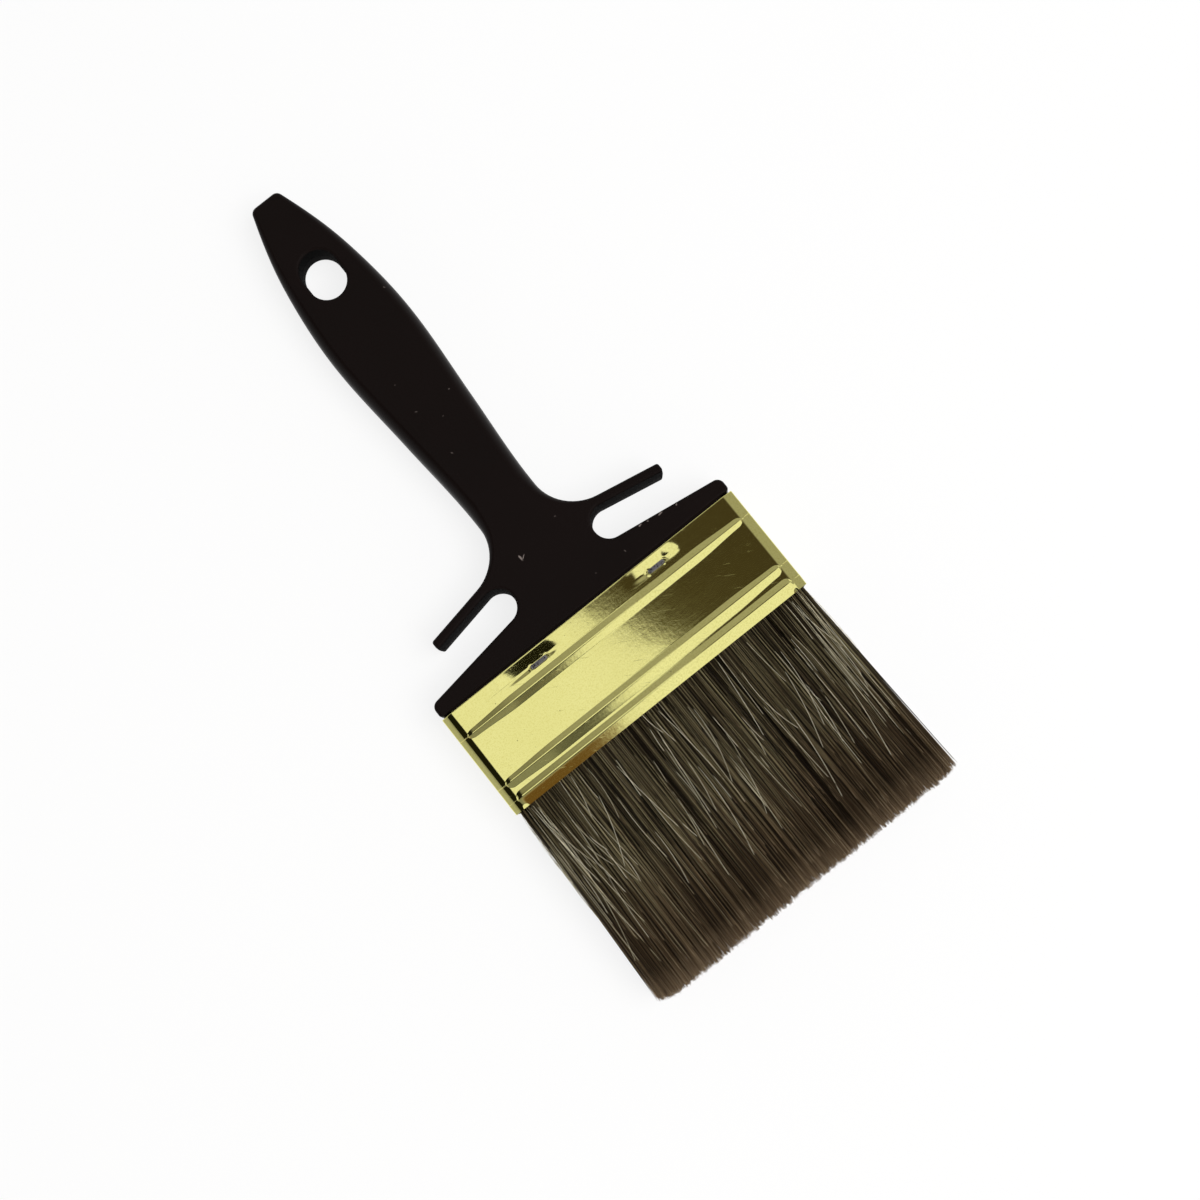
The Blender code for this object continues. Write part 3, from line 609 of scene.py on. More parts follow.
def bristle_hair():
    """Filaments tinted strand by strand across the map and from root to tip along it."""
    material, tree, shader = new_material("bristle", (0.075, 0.052, 0.03), Specular_IOR_Level=0.12)
    across = add_node(tree, "UVMap", uv_map="OFBake").outputs[0]
    tint, along, _ = add_node(tree, "SeparateXYZ", {0: across}).outputs
    places, tip_places = (0.0, 0.3, 0.55, 0.85, 0.9, 1.0), (0.0, 0.4, 0.85, 0.9, 1.0)
    root = [(0.006, 0.004, 0.0022), (0.029, 0.020, 0.0105), (0.095, 0.074, 0.038), (0.26, 0.22, 0.12)]
    body = [(0.007, 0.0042, 0.0022), (0.034, 0.021, 0.011), (0.085, 0.056, 0.029), (0.18, 0.13, 0.073)]
    tip = [(0.085, 0.055, 0.031), (0.17, 0.116, 0.065), (0.31, 0.23, 0.14)]
    pale = [(0.50, 0.44, 0.28), (0.95, 0.90, 0.70)]
    root, body = ramp(tree, tint, places, root + pale), ramp(tree, tint, places, body + pale)
    tip = ramp(tree, tint, tip_places, tip + pale)
    tone = mix_colours(tree, eased(tree, along, start=0.45, end=0.8), root, body)
    tone = mix_colours(tree, eased(tree, along, start=0.88, end=0.99), tone, tip)
    wire(tree, shader, tone, between(tree, along, low=0.3, high=0.6))
    return material


# Handle


def shoulder_edge(x):
    return SHOULDER_HEIGHT + SHOULDER_SLOPE * (FERRULE_HALF_WIDTH - x)


def hook_inside(x):
    return shoulder_edge(HOOK_TIP_X) + HOOK_MOUTH + math.tan(HOOK_SLOPE_ANGLE) * (HOOK_TIP_X - x)


def hook_outside(x):
    return hook_inside(x) + HOOK_BLADE / math.cos(HOOK_SLOPE_ANGLE)


def side_curve(start, end, share):
    """Half width and height along a cubic between two (height, half width, slope) stations."""
    span = end[0] - start[0]
    s2, s3 = share ** 2, share ** 3
    width = (2 * s3 - 3 * s2 + 1) * start[1] + (s3 - 2 * s2 + share) * span * start[2]
    width += (3 * s2 - 2 * s3) * end[1] + (s3 - s2) * span * end[2]
    return width, start[0] + span * share


def handle_outline():
    corners = [
        (0.0, SEAT_HEIGHT, 0.0),
        (FERRULE_HALF_WIDTH, SEAT_HEIGHT, SEAT_CORNER),
        (FERRULE_HALF_WIDTH, SHOULDER_HEIGHT, SHOULDER_CORNER),
        (SLOT_END_X, shoulder_edge(SLOT_END_X), SLOT_RADIUS),
        (SLOT_END_X, hook_inside(SLOT_END_X), SLOT_RADIUS),
        (HOOK_TIP_X, hook_inside(HOOK_TIP_X), HOOK_TIP_RADIUS),
        (HOOK_TIP_X, hook_outside(HOOK_TIP_X), HOOK_TIP_RADIUS),
        (WAIST_HALF_WIDTH, hook_outside(WAIST_HALF_WIDTH), NECK_FILLET),
    ]
    for start, end in zip(GRIP_STATIONS, GRIP_STATIONS[1:]):
        for step in range(GRIP_STEPS):
            corners.append((*side_curve(start, end, step / GRIP_STEPS), 0.0))
    nose_height, nose_half_width, _ = GRIP_STATIONS[-1]
    corners.append((nose_half_width, nose_height, 0.0))
    corners.append((TIP_HALF_WIDTH, HANDLE_LENGTH, TIP_CORNER))
    corners.append((0.0, HANDLE_LENGTH, 0.0))
    right = rounded_path(corners)
    return right + [Vector((-p.x, p.y)) for p in reversed(right[1:-1])]


def hang_hole_outline():
    """Stadium-shaped hole, run clockwise so that its normals point out of the plastic."""
    points = []
    steps = round(math.pi / ARC_STEP)
    for end in (1, -1):
        for step in range(steps + 1):
            angle = math.pi * step / steps
            x = -end * HOLE_RADIUS * math.cos(angle)
            y = end * HOLE_RADIUS * math.sin(angle)
            points.append(Vector((x, HOLE_HEIGHT + end * HOLE_STRAIGHT / 2 + y)))
    return points


def outward_normals(points):
    normals = []
    for i, here in enumerate(points):
        before = (here - points[i - 1]).normalized()
        after = (points[(i + 1) % len(points)] - here).normalized()
        along = (before + after).normalized()
        normals.append(Vector((along.y, -along.x)))
    return normals


def half_thickness(y):
    return (HEAD_THICKNESS + (TIP_THICKNESS - HEAD_THICKNESS) * y / HANDLE_LENGTH) / 2


def edge_size(point):
    """(width, depth) of the rounding between the wall and the face: wide along the neck and grip only."""
    heights, widths, depths = zip(*EDGE_STATIONS)
    return np.interp(point.y, heights, widths), np.interp(point.y, heights, depths)


def wall_profile(edge, half):
    """(inset, height, wall share) steps from the parting groove up the drafted wall to the face."""
    width, depth = edge
    wall = half - depth
    draft = MOULD_DRAFT * wall
    steps = [(PARTING_GROOVE, 0.0, 1.0), (PARTING_GROOVE * MOULD_DRAFT, PARTING_GROOVE, 1.0)]
    for number in range(EDGE_STEPS + 1):
        angle = EDGE_TURN * number / EDGE_STEPS
        inset = draft + width * (1.0 - math.cos(angle)) / (1.0 - math.cos(EDGE_TURN))
        height = wall + depth * math.sin(angle) / math.sin(EDGE_TURN)
        steps.append((inset, height, 1.0 - smooth_step(0.0, EDGE_WALL_SHARE, number / EDGE_STEPS)))
    steps.append((draft + width + FLAT_RIM, half, 0.0))
    return steps


def matt_and_shade_share(point):
    """1 on the walls of the hooks and their slots, which are made matt and darkened with painted shade, 0 on
    the glossier ones round the grip and the ends.
    """
    glossy_grip = smooth_step(*MATT_SHADE_END_HEIGHTS, point.y)
    glossy_end = smooth_step(*MATT_SHADE_END_WIDTHS, abs(point.x))
    return (1.0 - glossy_grip) * (1.0 - glossy_end)


def add_handle_wall(bm, wall_layer, points, edges, matt):
    """Add one wall of the handle, face to face, and return the edges of its two rims."""
    normals = outward_normals(points)
    profiles = [wall_profile(edge, half_thickness(p.y)) for p, edge in zip(points, edges)]
    count = len(profiles[0])
    rings = []
    for level in range(1 - count, count):
        ring = []
        for point, normal, profile, share in zip(points, normals, profiles, matt):
            inset, height, wall = profile[abs(level)]
            place = point - normal * inset
            if abs(level) >= count - 2:
                height = half_thickness(place.y)
            vert = bm.verts.new((place.x, place.y, math.copysign(height, level)))
            # The wall layer marks where the plastic is made matt and darkened with painted shade
            vert[wall_layer] = wall * share
            ring.append(vert)
        rings.append(ring)
    bridge_rings(bm, rings)
    rims = []
    for ring in (rings[0], rings[-1]):
        rims.append([bm.edges.get((ring[i - 1], ring[i])) for i in range(len(ring))])
    return rims


def apply_box(piece, name, low, high, operation):
    """Join a box between two corners to a piece, or cut it away, and keep only the result."""
    bm = bmesh.new()
    low, high = Vector(low), Vector(high)
    matrix = Matrix.Translation((low + high) / 2) @ Matrix.Diagonal((*(high - low), 1.0))
    bmesh.ops.create_cube(bm, size=1.0, matrix=matrix)
    tool = add_object(name, finished_mesh(name, bm), BRUSH_PLACE)
    modifier = piece.modifiers.new(name, "BOOLEAN")
    modifier.operation = operation
    modifier.solver = "EXACT"
    modifier.object = tool
    bpy.context.view_layer.update()
    shaped = piece.evaluated_get(bpy.context.evaluated_depsgraph_get())
    old, piece.data = piece.data, bpy.data.meshes.new_from_object(shaped)
    piece.modifiers.remove(modifier)
    bpy.data.objects.remove(tool, do_unlink=True)
    bpy.data.meshes.remove(old)


def make_handle(material):
    bm = bmesh.new()
    wall_layer = bm.verts.layers.float.new("wall")
    outline = handle_outline()
    hole = hang_hole_outline()
    outer_edges, outer_matt_and_shade = [edge_size(p) for p in outline], [matt_and_shade_share(p) for p in outline]
    outer_rims = add_handle_wall(bm, wall_layer, outline, outer_edges, outer_matt_and_shade)
    hole_rims = add_handle_wall(bm, wall_layer, hole, [HOLE_EDGE] * len(hole), [1.0] * len(hole))
    for outer, inner in zip(outer_rims, hole_rims):
        bmesh.ops.triangle_fill(bm, edges=outer + inner, use_beauty=True)
    mesh = finished_mesh("handle_moulding", bm)
    handle = add_piece("handle_moulding", mesh, "handle", material, smooth_angle=32.0)

    half_width = BEVEL_START - SHEET - TONGUE_GAP
    half_depth = FERRULE_HALF_THICKNESS - SHEET - TONGUE_GAP
    low = (-half_width, -TONGUE_DEPTH, -half_depth)
    high = (half_width, SEAT_HEIGHT + SHOULDER_HEIGHT / 2, half_depth)
    apply_box(handle, "tongue", low, high, "UNION")
    for face, places in STAPLE_PLACES.items():
        for x, _ in places:
            near, far = face * (half_depth + SHEET), face * (half_depth - POCKET_DEPTH)
            low = (x - POCKET_HALF_LENGTH, -UPPER_BEAD[0], min(near, far))
            high = (x + POCKET_HALF_LENGTH, SEAT_HEIGHT - TONGUE_GAP, max(near, far))
            apply_box(handle, "dimple_pocket", low, high, "DIFFERENCE")
    return handle


# Ferrule


def stepped(start, end, step):
    return np.linspace(start, end, max(1, math.ceil((end - start) / step)) + 1)


def ferrule_profile():
    """(drop, lift) steps down the sheet: flats, three roof-shaped beads and the tucked lip."""
    corners = [(0.0, -SHEET_EDGE, 0.0), (SHEET_EDGE, 0.0, 0.0)]
    for start, crest, *end in (UPPER_BEAD, LOWER_BEAD, LIP_BEAD):
        corners.append((start - BEAD_MARGIN, 0.0, 0.0))
        corners.append((start, 0.0, BEAD_ROUNDING))
        corners.append((crest, BEAD_RISE, CREST_ROUNDING))
        for drop in end:
            corners.append((drop, 0.0, BEAD_ROUNDING))
            corners.append((drop + BEAD_MARGIN, 0.0, 0.0))
    corners.append((LIP_END, -LIP_TUCK, 0.0))
    path = rounded_path(corners, PROFILE_STEP)
    rows = [path[0]]
    for start, end in zip(path, path[1:]):
        step = FINE_STEP if start.x < UPPER_BEAD[0] - BEAD_ROUNDING else COARSE_STEP
        count = math.ceil((end - start).length / step)
        rows.extend(start.lerp(end, number / count) for number in range(1, count + 1))
    return rows


def pinched(x, drop, lift):
    """A point of the profile at this x: the beads taper along the faces, and all fade at the corners."""
    if drop < SHEET_EDGE:
        return drop, lift
    reach = 1.01 * BEAD_MARGIN
    lip = (*LIP_BEAD, LIP_BEAD[1] - reach)
    crest, end_share = drop, 1.0
    for bead, share in ((UPPER_BEAD, UPPER_BEAD_END), (LOWER_BEAD, LOWER_BEAD_END), (lip, 1.0)):
        if bead[0] - reach < drop < bead[2] + reach:
            crest, end_share = bead[1], share
    kept = 1.0 - (1.0 - end_share) * smooth_step(*BEAD_TAPER, abs(x))
    start, end = BEAD_PINCH
    past = min(max((abs(x) - start) / (end - start), 0.0), 1.0)
    kept = BEAD_SIDE_SHARE + (kept - BEAD_SIDE_SHARE) * math.sqrt(1.0 - past ** 2)
    return crest + (drop - crest) * kept, lift * kept


def face_columns(half):
    """Places across a face, closer together at the staples and at the ends of the beads."""
    near, far = STAPLE_PLACES[-1][1][0] - FINE_REACH, STAPLE_PLACES[-1][1][0] + FINE_REACH
    spans = [(0.0, near, COARSE_STEP), (near, far, FINE_STEP), (far, BEAD_PINCH[0], COARSE_STEP)]
    spans.append((BEAD_PINCH[0], half, FINE_STEP))
    right = np.concatenate([stepped(*span)[1:] for span in spans])
    return np.concatenate([-right[::-1], [0.0], right])


def corner_bend():
    """(x, z, normal x, normal z) steps round one bevelled edge, from a face to a side."""
    drop = (FERRULE_HALF_WIDTH - BEVEL_START) * math.tan(BEVEL_TILT)
    corners = [
        (0.0, FERRULE_HALF_THICKNESS, 0.0),
        (BEVEL_START, FERRULE_HALF_THICKNESS, FACE_BEND),
        (FERRULE_HALF_WIDTH, FERRULE_HALF_THICKNESS - drop, SIDE_BEND),
        (FERRULE_HALF_WIDTH, 0.0, 0.0),
    ]
    path = rounded_path(corners, BEND_STEP)
    bend = []
    for before, here, after in zip(path, path[1:], path[2:]):
        along = ((here - before).normalized() + (after - here).normalized()).normalized()
        bend.append((here.x, here.y, -along.y, along.x))
    return bend


def ferrule_section():
    """(x, z, normal x, normal z) once round the ferrule's outside."""
    bend = corner_bend()
    side_z = bend[-1][1]
    half = [(x, FERRULE_HALF_THICKNESS, 0.0, 1.0) for x in face_columns(bend[0][0])]
    half += bend[1:-1]
    half += [(FERRULE_HALF_WIDTH, z, 1.0, 0.0) for z in np.linspace(side_z, -side_z, SIDE_STEPS)]
    half += [(x, -z, nx, -nz) for x, z, nx, nz in reversed(bend[1:-1])]
    return half + [tuple(-value for value in place) for place in half]


def staple_near(x, face):
    """Place and drop of the staple on this half of a face."""
    left, right = STAPLE_PLACES[face]
    return left if x < 0.0 else right


def dimple(x, drop, face):
    """How far a staple has drawn a face in: a trough that slopes down from the ferrule's upper edge."""
    staple_x, staple_drop = staple_near(x, face)
    slope, (left, right), (left_run, right_run) = DIMPLES[0 if x < 0.0 else 1]
    away = x - staple_x
    slope *= smooth_step(left - left_run, left, away) * (1.0 - smooth_step(right, right + right_run, away))
    deepest, end = staple_drop - DIMPLE_ABOVE_WIRE, staple_drop + DIMPLE_BELOW_WIRE
    if drop < deepest:
        return slope * drop
    return slope * deepest * (1.0 - smooth_step(deepest, end, drop))


def pierced(x, drop, face):
    """Lift of the torn rim, and the sink inside it, where a staple's leg goes through the sheet."""
    staple_x, staple_drop = staple_near(x, face)
    away = math.hypot(abs(x - staple_x) - HOLE_OUT, drop - staple_drop)
    radius, spread, rise = HOLE_RIM
    rim = rise * math.exp(-((away - radius) / spread) ** 2)
    return rim - HOLE_SINK * (1.0 - smooth_step(*HOLE_SINK_EDGE, away))


def sheet_wave(x, drop, face):
    return sum(rise * noise.noise(Vector((x, drop, face * length)) / length) for rise, length in SHEET_WAVES)


def make_ferrule(material):
    bm = bmesh.new()
    rows = ferrule_profile()
    inner_rows = [*rows[:-1:INNER_ROW_STRIDE], rows[-1]][::-1]
    section = ferrule_section()
    rings = []
    for depth, path in ((0.0, rows), (SHEET, inner_rows)):
        for row in path:
            ring = []
            for x, z, nx, nz in section:
                drop, out = pinched(x, *row)
                out -= depth
                if nx == 0.0:
                    out += sheet_wave(x, drop, nz) + pierced(x, drop, nz) - dimple(x, drop, nz)
                ring.append(bm.verts.new((x + nx * out, -drop, z + nz * out)))
            rings.append(ring)
    bridge_rings(bm, rings, closed=True)
    mesh = finished_mesh("ferrule_band", bm)
    return add_piece("ferrule_band", mesh, "ferrule", material, smooth_angle=50.0)


# Staples


def make_staple(name, node, x, drop, face, material):
    """One bent wire: crown across the dimple, and two legs into the handle."""
    half = STAPLE_HALF_LENGTH - STAPLE_THICKNESS / 2
    top = STAPLE_TOP - STAPLE_THICKNESS / 2
    crown = [(-half, top, STAPLE_BEND), (half, top, STAPLE_BEND)]
    path = rounded_path([(-half, STAPLE_BOTTOM), *crown, (half, STAPLE_BOTTOM)], STAPLE_BEND_STEP)
    ways = [(b - a).normalized() for a, b in zip(path, path[1:])]
    ways.append(ways[-1])
    edge, wide, thick = STAPLE_EDGE, STAPLE_WIDTH / 2, STAPLE_THICKNESS / 2
    outline = [(wide - edge, thick), (wide, thick - edge), (wide, edge - thick), (wide - edge, -thick)]
    outline += [(-a, -b) for a, b in outline]
    bm = bmesh.new()
    rings = []
    for point, along in zip(path, ways):
        side = Vector((-along.y, along.x))
        ring = []
        for across, out in outline:
            place = point + side * out
            ring.append(bm.verts.new((x + face * place.x, across - drop, face * place.y)))
        rings.append(ring)
    bridge_rings(bm, rings)
    bm.faces.new(rings[0])
    bm.faces.new(rings[-1])
    return add_piece(name, finished_mesh(name, bm), node, material, smooth_angle=40.0)


def make_staples(material):
    for face, front in ((1, "front"), (-1, "rear")):
        for (x, drop), hand in zip(STAPLE_PLACES[face], ("left", "right")):
            make_staple(f"{front}_{hand}_wire", f"{front}_{hand}_staple", x, drop, face, material)


# Bristle


def strand_mesh(name, paths, radii, tints):
    """Closed three-sided strands along paths of shape (strands, points, 3), in millimetres."""
    strands, points, _ = paths.shape
    angles = np.arange(3) * 2 * math.pi / 3 + math.pi / 2
    ring = np.stack([np.cos(angles), np.zeros(3), np.sin(angles)], axis=1)
    verts = paths[:, :, None, :] + radii[:, :, None, None] * ring[None, None]

    corners, places = [], []
    for k in range(points - 1):
        low, high = k / (points - 1), (k + 1) / (points - 1)
        for j in range(3):
            n = (j + 1) % 3
            corners += [3 * k + j, 3 * k + n, 3 * k + 3 + n, 3 * k + 3 + j]
            places += [(j / 3, low), ((j + 1) / 3, low), ((j + 1) / 3, high), (j / 3, high)]
    corners += [2, 1, 0, 3 * points - 3, 3 * points - 2, 3 * points - 1]
    places += [(0.0, 0.0), (0.5, 0.02), (1.0, 0.0), (0.0, 1.0), (0.5, 0.98), (1.0, 1.0)]
    loops = np.array(corners)[None] + np.arange(strands)[:, None] * points * 3
    sizes = np.tile([4] * (3 * (points - 1)) + [3, 3], strands)
    local = np.array(places)
    column = np.floor(tints * STRAND_TINTS).clip(0, STRAND_TINTS - 1)
    u = (column[:, None] + TINT_MARGIN + (1 - 2 * TINT_MARGIN) * local[None, :, 0]) / STRAND_TINTS
    v = np.broadcast_to(local[None, :, 1], u.shape)

    mesh = bpy.data.meshes.new(name)
    mesh.vertices.add(strands * points * 3)
    mesh.vertices.foreach_set("co", (verts * MM).ravel())
    mesh.loops.add(loops.size)
    mesh.loops.foreach_set("vertex_index", loops.ravel())
    mesh.polygons.add(len(sizes))
    mesh.polygons.foreach_set("loop_start", np.cumsum(sizes) - sizes)
    uv = mesh.uv_layers.new(name="OFBake")
    mesh.update(calc_edges=True)
    uv.data.foreach_set("uv", np.stack([u, v], axis=2).ravel())
    return mesh


def scattered(first, second):
    """A fixed value from 0 to 1 for each pair of whole numbers, without a pattern to the eye."""
    return np.modf(np.abs(np.sin(first * 12.9898 + second * 78.233) * 43758.5453))[0]


def lock_of(x, z):
    """Number, layer and middle of the lock of strands at each place across the pack."""
    layer = np.floor(z / LOCK_LAYER)
    shift = scattered(layer, SHIFT_KEY)
    lock = np.floor(x / LOCK_WIDTH + shift)
    return lock, layer, (lock - shift + 0.25 + 0.5 * scattered(lock, layer)) * LOCK_WIDTH


def strand_paths(rng, x_span, z_span, count):
    """Paths from inside the ferrule to ragged tips, drawn together in fine locks outside it."""
    x = rng.uniform(*x_span, count)
    z = rng.uniform(*z_span, count)
    lock, layer, middle = lock_of(x, z)
    gather = (middle - x) * rng.uniform(*LOCK_GATHER, count)
    flare = TIP_HALF_WIDTH_PACK / PACK_HALF_WIDTH - 1.0
    drift = x * flare + LOCK_DRIFT * (scattered(lock, layer + DRIFT_KEY) - 0.5)
    drift = drift + rng.normal(0.0, STRAND_DRIFT, count)
    tip_z = z * TIP_HALF_THICKNESS_PACK / PACK_HALF_THICKNESS + rng.normal(0.0, TIP_HEIGHT_SPREAD, count)
    edge = np.abs(x) / PACK_HALF_WIDTH
    tooth = TOOTH_LENGTH * scattered(np.floor(x / TOOTH_WIDTH), np.floor(z / TOOTH_LAYER)) ** 2
    shorter = np.abs(rng.normal(0.0, TIP_RAGGEDNESS, count)) + tooth + END_SHORTENING * edge ** END_POWER
    length = BRISTLE_TIP_DROP - shorter - BRISTLE_ROOT_DROP
    share = STRAND_SHARES
    mouth = (MOUTH_DROP - BRISTLE_ROOT_DROP) / (BRISTLE_TIP_DROP - BRISTLE_ROOT_DROP)
    out = np.clip((share - mouth) / (1 - mouth), 0.0, 1.0)
    lean = out ** LEAN_POWER
    swell = PACK_SWELL * np.sin(math.pi * out ** SWELL_POWER) * (z / PACK_HALF_THICKNESS)[:, None]
    sway = rng.normal(0.0, STRAND_SWAY, count)[:, None]
    sway = sway * np.sin(math.pi * out * rng.uniform(*SWAY_TURNS, count)[:, None])
    gathered = gather[:, None] * np.minimum(out * GATHER_RATE, 1.0)
    paths = np.empty((count, STRAND_POINTS, 3))
    paths[:, :, 0] = x[:, None] + gathered + drift[:, None] * lean + sway
    paths[:, :, 1] = -BRISTLE_ROOT_DROP - length[:, None] * share
    paths[:, :, 2] = z[:, None] + (tip_z - z)[:, None] * lean + swell
    return paths


def strand_radii(rng, count):
    thick = STRAND_RADIUS * rng.uniform(*RADIUS_SPREAD, count)
    share = STRAND_SHARES
    taper = 1.0 - STRAND_TAPER * share - TIP_TAPER * share ** TIP_TAPER_POWER
    return thick[:, None] * taper[None]


def strand_tints(rng, paths):
    """Locks of the strands' own mixed browns and khakis, every other one made darker as painted shade for
    the dark gaps between locks, with odd strands of any shade among them.
    """
    count = len(paths)
    lock, layer, _ = lock_of(paths[:, 0, 0], paths[:, 0, 2])
    # Every other lock is made darker: painted shade for the dark gaps between locks
    level = 0.5 * np.mod(lock, 2.0) + 0.5 * scattered(lock, layer + TINT_KEY)
    shared = TINT_SCALE * level ** LOCK_TINT_POWER + rng.normal(0.0, TINT_SPREAD, count)
    odd = TINT_SCALE * rng.beta(*ODD_TINT_SHAPE, count)
    return np.clip(np.where(rng.random(count) < LOCK_TINT_SHARE, shared, odd), 0.0, TINT_TOP)


def share_past_mouth(paths):
    """How far along the free bristle each point lies, from 0 at the ferrule to 1 at the tips."""
    return np.clip((-paths[:, :, 1] - MOUTH_DROP) / (BRISTLE_TIP_DROP - MOUTH_DROP), 0.0, 1.0)


def loose_paths(rng, x_span, hairs):
    """Hairs that lie across the pack's front, turned and bowed at random."""
    count = hairs.count
    x = rng.uniform(*x_span, count)
    start = MOUTH_DROP + rng.uniform(*hairs.starts, count)
    length = np.minimum(rng.uniform(*hairs.lengths, count), LOOSE_END_DROP - start)
    turns = rng.normal(0.0, hairs.turn, count)[:, None]
    bows = rng.normal(0.0, hairs.bow, count)[:, None]
    share = STRAND_SHARES[None]
    paths = np.empty((count, STRAND_POINTS, 3))
    paths[:, :, 0] = x[:, None] + length[:, None] * (turns * share + bows * share ** 2)
    paths[:, :, 1] = -start[:, None] - length[:, None] * share
    out = share_past_mouth(paths)
    surface = PACK_HALF_THICKNESS + (TIP_HALF_THICKNESS_PACK - PACK_HALF_THICKNESS) * out
    raised = hairs.lift * np.sin(math.pi * np.clip(share, 0.0, HAIR_LIFT_END))
    raised = raised * rng.uniform(*HAIR_LIFT_SPREAD, count)[:, None]
    paths[:, :, 2] = surface + HAIR_CLEARANCE + raised * np.minimum(out * HAIR_LIFT_RATE, 1.0)
    return paths


def edge_paths(rng, count, side):
    """Pale hairs that stand a little away from the pack's short side, mostly near the ferrule."""
    share = STRAND_SHARES[None]
    start = MOUTH_DROP + rng.uniform(*EDGE_HAIR_STARTS, count)[:, None]
    reach = rng.uniform(*EDGE_HAIR_REACH, count)[:, None] * (LOOSE_END_DROP - start)
    away = rng.uniform(*EDGE_HAIR_AWAY, count)[:, None]
    paths = np.empty((count, STRAND_POINTS, 3))
    paths[:, :, 1] = -start - reach * share
    pack_edge = PACK_HALF_WIDTH + (TIP_HALF_WIDTH_PACK - PACK_HALF_WIDTH) * share_past_mouth(paths)
    paths[:, :, 0] = side * (pack_edge - EDGE_HAIR_SINK + away * np.sin(math.pi * share ** EDGE_HAIR_BOW))
    paths[:, :, 2] = rng.uniform(*EDGE_HAIR_HEIGHTS, count)[:, None] * (1.0 - EDGE_HAIR_CLOSING * share)
    return paths


def make_bristle(name, node, x_span, z_span, count, material, seed):
    """One node's strands, with its loose hairs on the front row and the two short sides."""
    rng = np.random.default_rng(seed)
    paths = strand_paths(rng, x_span, z_span, count)
    groups = [(paths, strand_radii(rng, count), strand_tints(rng, paths))]
    loose, across, extra = [], None, []
    if node == "front_bristle_row":
        loose, across = FRONT_HAIRS, FRONT_HAIR_SPAN
    elif x_span[0] * x_span[1] > 0.0:
        side = math.copysign(1.0, x_span[0])
        loose, across = SIDE_HAIRS, sorted(side * x for x in SIDE_HAIR_SPAN)
        extra.append((edge_paths(rng, EDGE_HAIR_COUNT, side), EDGE_HAIR_RADIUS, EDGE_HAIR_TINTS))
    extra += [(loose_paths(rng, across, hairs), hairs.radius, hairs.tints) for hairs in loose]
    for hair_paths, radius, tint_span in extra:
        radii = np.full(hair_paths.shape[:2], radius)
        groups.append((hair_paths, radii, rng.uniform(*tint_span, len(hair_paths))))
    paths, radii, tints = (np.concatenate(parts) for parts in zip(*groups))
    return add_piece(name, strand_mesh(name, paths, radii, tints), node, material)


def make_bristles(material):
    inner, outer = MIDDLE_ROW_HALF, PACK_HALF_THICKNESS
    row_span = (-ROW_END, ROW_END)
    rows = [
        ("front_bristle", "front_bristle_row", row_span, (inner, outer), 4300),
        ("middle_bristle", "middle_bristle_row", row_span, (-inner, inner), 1800),
        ("rear_bristle", "rear_bristle_row", row_span, (-outer, -inner), 2600),
        ("left_bristle", "left_end_tuft", (-PACK_HALF_WIDTH, -ROW_END), (-outer, outer), 1150),
        ("right_bristle", "right_end_tuft", (ROW_END, PACK_HALF_WIDTH), (-outer, outer), 1150),
    ]
    for number, (name, node, x_span, z_span, count) in enumerate(rows):
        make_bristle(name, node, x_span, z_span, count, material, BRISTLE_SEED + number)


# Studio


def add_floor():
    """A pale floor that reads as white, and still takes the brush's shadow."""
    bm = bmesh.new()
    bmesh.ops.create_grid(bm, x_segments=1, y_segments=1, size=FLOOR_HALF_SIZE)
    mesh = bpy.data.meshes.new("floor")
    bm.to_mesh(mesh)
    bm.free()
    floor = add_object("floor", mesh, (0.0, 0.0, FLOOR_Z))
    material = bpy.data.materials.new("floor_white")
    material.use_nodes = True
    tree = material.node_tree
    tree.nodes.clear()
    diffuse = add_node(tree, "BsdfDiffuse", {"Color": FLOOR_COLOUR})
    white = add_node(tree, "Emission", {"Color": (1.0, 1.0, 1.0, 1.0), "Strength": 1.0})
    path = add_node(tree, "LightPath")
    rays = [path.outputs[f"Is {kind} Ray"] for kind in ("Camera", "Glossy", "Transmission")]
    far = vector_node(tree, "LENGTH", add_node(tree, "TexCoord").outputs["Object"])
    level = between(tree, eased(tree, far, *FLOOR_FADE), *FLOOR_WHITE)
    share = times(tree, math_node(tree, "MAXIMUM", *rays), level)
    mixed = add_node(tree, "MixShader", {0: share, 1: diffuse.outputs[0], 2: white.outputs[0]})
    add_node(tree, "OutputMaterial", {"Surface": mixed.outputs[0]})
    mesh.materials.append(material)


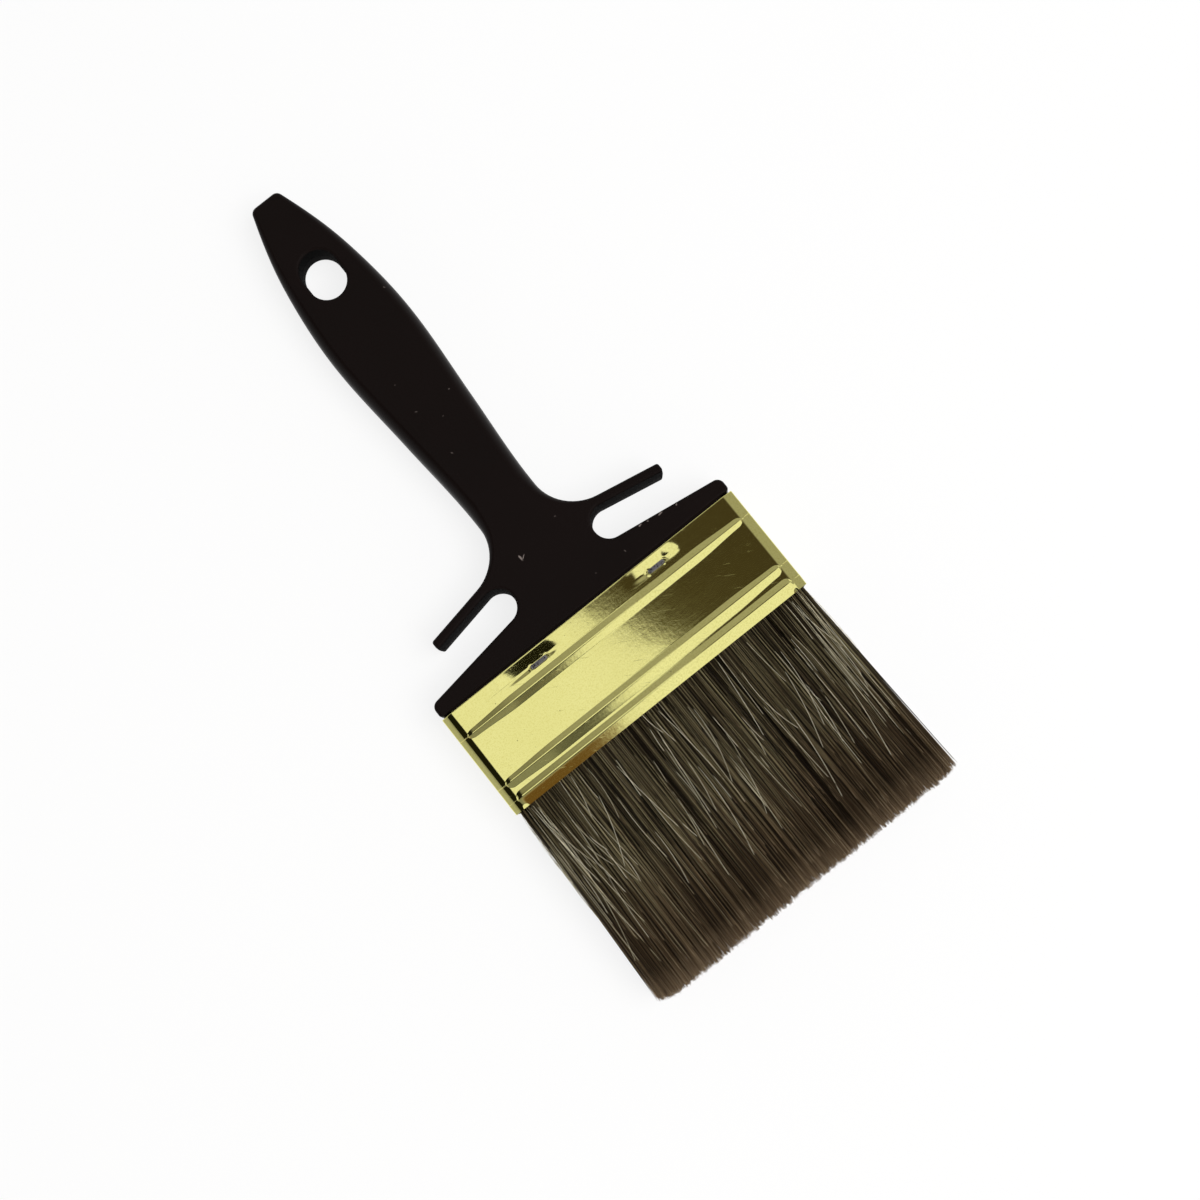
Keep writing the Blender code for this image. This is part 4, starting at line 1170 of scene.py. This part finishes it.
def add_world():
    """A dim warm room with a bright ceiling panel, a window, grey walls and a white horizon."""
    world = bpy.data.worlds.new("studio")
    bpy.context.scene.world = world
    world.use_nodes = True
    tree = world.node_tree
    tree.nodes.clear()
    way = add_node(tree, "TexCoord").outputs["Generated"]
    x, y, z = add_node(tree, "SeparateXYZ", {0: way}).outputs
    up = math_node(tree, "MAXIMUM", z, LOWEST_Z)
    lean_x, lean_y = math_node(tree, "DIVIDE", x, up), math_node(tree, "DIVIDE", y, up)
    past_panel = math_node(tree, "DIVIDE", vector_node(tree, "DOT_PRODUCT", way, PANEL_WAY), up)
    slant = times(tree, math_node(tree, "MAXIMUM", lean_y, WINDOW_SLANT_END), WINDOW_SLANT)
    measures = {
        "x": x,
        "z": z,
        "lean_x": lean_x,
        "lean_y": lean_y,
        "right_wall": vector_node(tree, "DOT_PRODUCT", way, RIGHT_WALL_WAY),
        "panel": past_panel,
        "window": math_node(tree, "SUBTRACT", lean_x, slant),
        "corner": math_node(tree, "ADD", lean_x, times(tree, lean_y, CORNER_SLANT)),
    }

    def inside(edges):
        """1 inside every edge of one part of the room, 0 outside any of them."""
        shares = [eased(tree, measures[name], unlit, lit) for name, unlit, lit in edges]
        return times(tree, *shares)

    # The panel's long edge crosses above the ferrule, and a weak glow lies to the window's left
    panel = [(PANEL_LEVEL, part + PANEL_ENDS) for part in PANEL_PARTS]
    lights = []
    for level, edges in (RIGHT_WALL, LEFT_WALL, *panel, WINDOW, CORNER, HORIZON):
        lights.append(times(tree, inside(edges), level))
    glow = between(tree, inside(GLOW_LEFT), *GLOW_LEVELS)
    lights.append(times(tree, glow, inside(GLOW_ENDS)))

    # Unlit parts: warm dark overhead, black towards the camera and to the left, brown low down
    warm_dark, black, brown = (0.062, 0.048, 0.028), (0.012, 0.011, 0.006), (0.16, 0.085, 0.03)
    blackness = math_node(tree, "MAXIMUM", inside(BLACK_NEAR), inside(BLACK_LEFT))
    dark = mix_colours(tree, blackness, warm_dark, black)
    dark = mix_colours(tree, inside(BROWN_LOW), dark, brown)
    colour = mix_colours(tree, math_node(tree, "MAXIMUM", *lights), dark, (1.0, 1.0, 1.0))
    background = add_node(tree, "Background", {"Color": colour})
    add_node(tree, "OutputWorld", {"Surface": background.outputs[0]})


def add_key_light():
    """One large soft lamp overhead, for the matt surfaces."""
    lamp = bpy.data.lights.new("key", "AREA")
    lamp.shape = "DISK"
    lamp.size = KEY_SIZE
    lamp.energy = KEY_ENERGY
    key = add_object("key", lamp, KEY_PLACE)
    key.rotation_euler = (-KEY_PLACE).to_track_quat("-Z", "Y").to_euler()
    key.visible_camera = False
    key.visible_glossy = False


def add_camera():
    data = bpy.data.cameras.new("camera")
    data.sensor_width = SENSOR_WIDTH
    data.lens = FOCAL_PIXELS / IMAGE_PIXELS * SENSOR_WIDTH
    data.clip_start = CLIP_START
    camera = add_object("camera", data)
    turn = Euler(CAMERA_TURN).to_matrix().transposed()
    place = BRUSH_PLACE + turn @ CAMERA_OFFSET * MM
    camera.matrix_world = Matrix.Translation(place) @ turn.to_4x4()
    bpy.context.scene.camera = camera


def repaint(node, material):
    """Give a node that keeps its construction shape a material."""
    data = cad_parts[node].data
    data.materials.clear()
    data.materials.append(material)


add_camera()
make_handle(handle_plastic())
make_ferrule(gilt_sheet())
make_staples(staple_wire())
make_bristles(bristle_hair())
repaint("resin_heel", setting_resin())
wood = spacer_wood()
for strip in ("front_spacer_strip", "rear_spacer_strip"):
    repaint(strip, wood)
add_floor()
add_world()
add_key_light()
bpy.context.scene.view_settings.view_transform = "Standard"
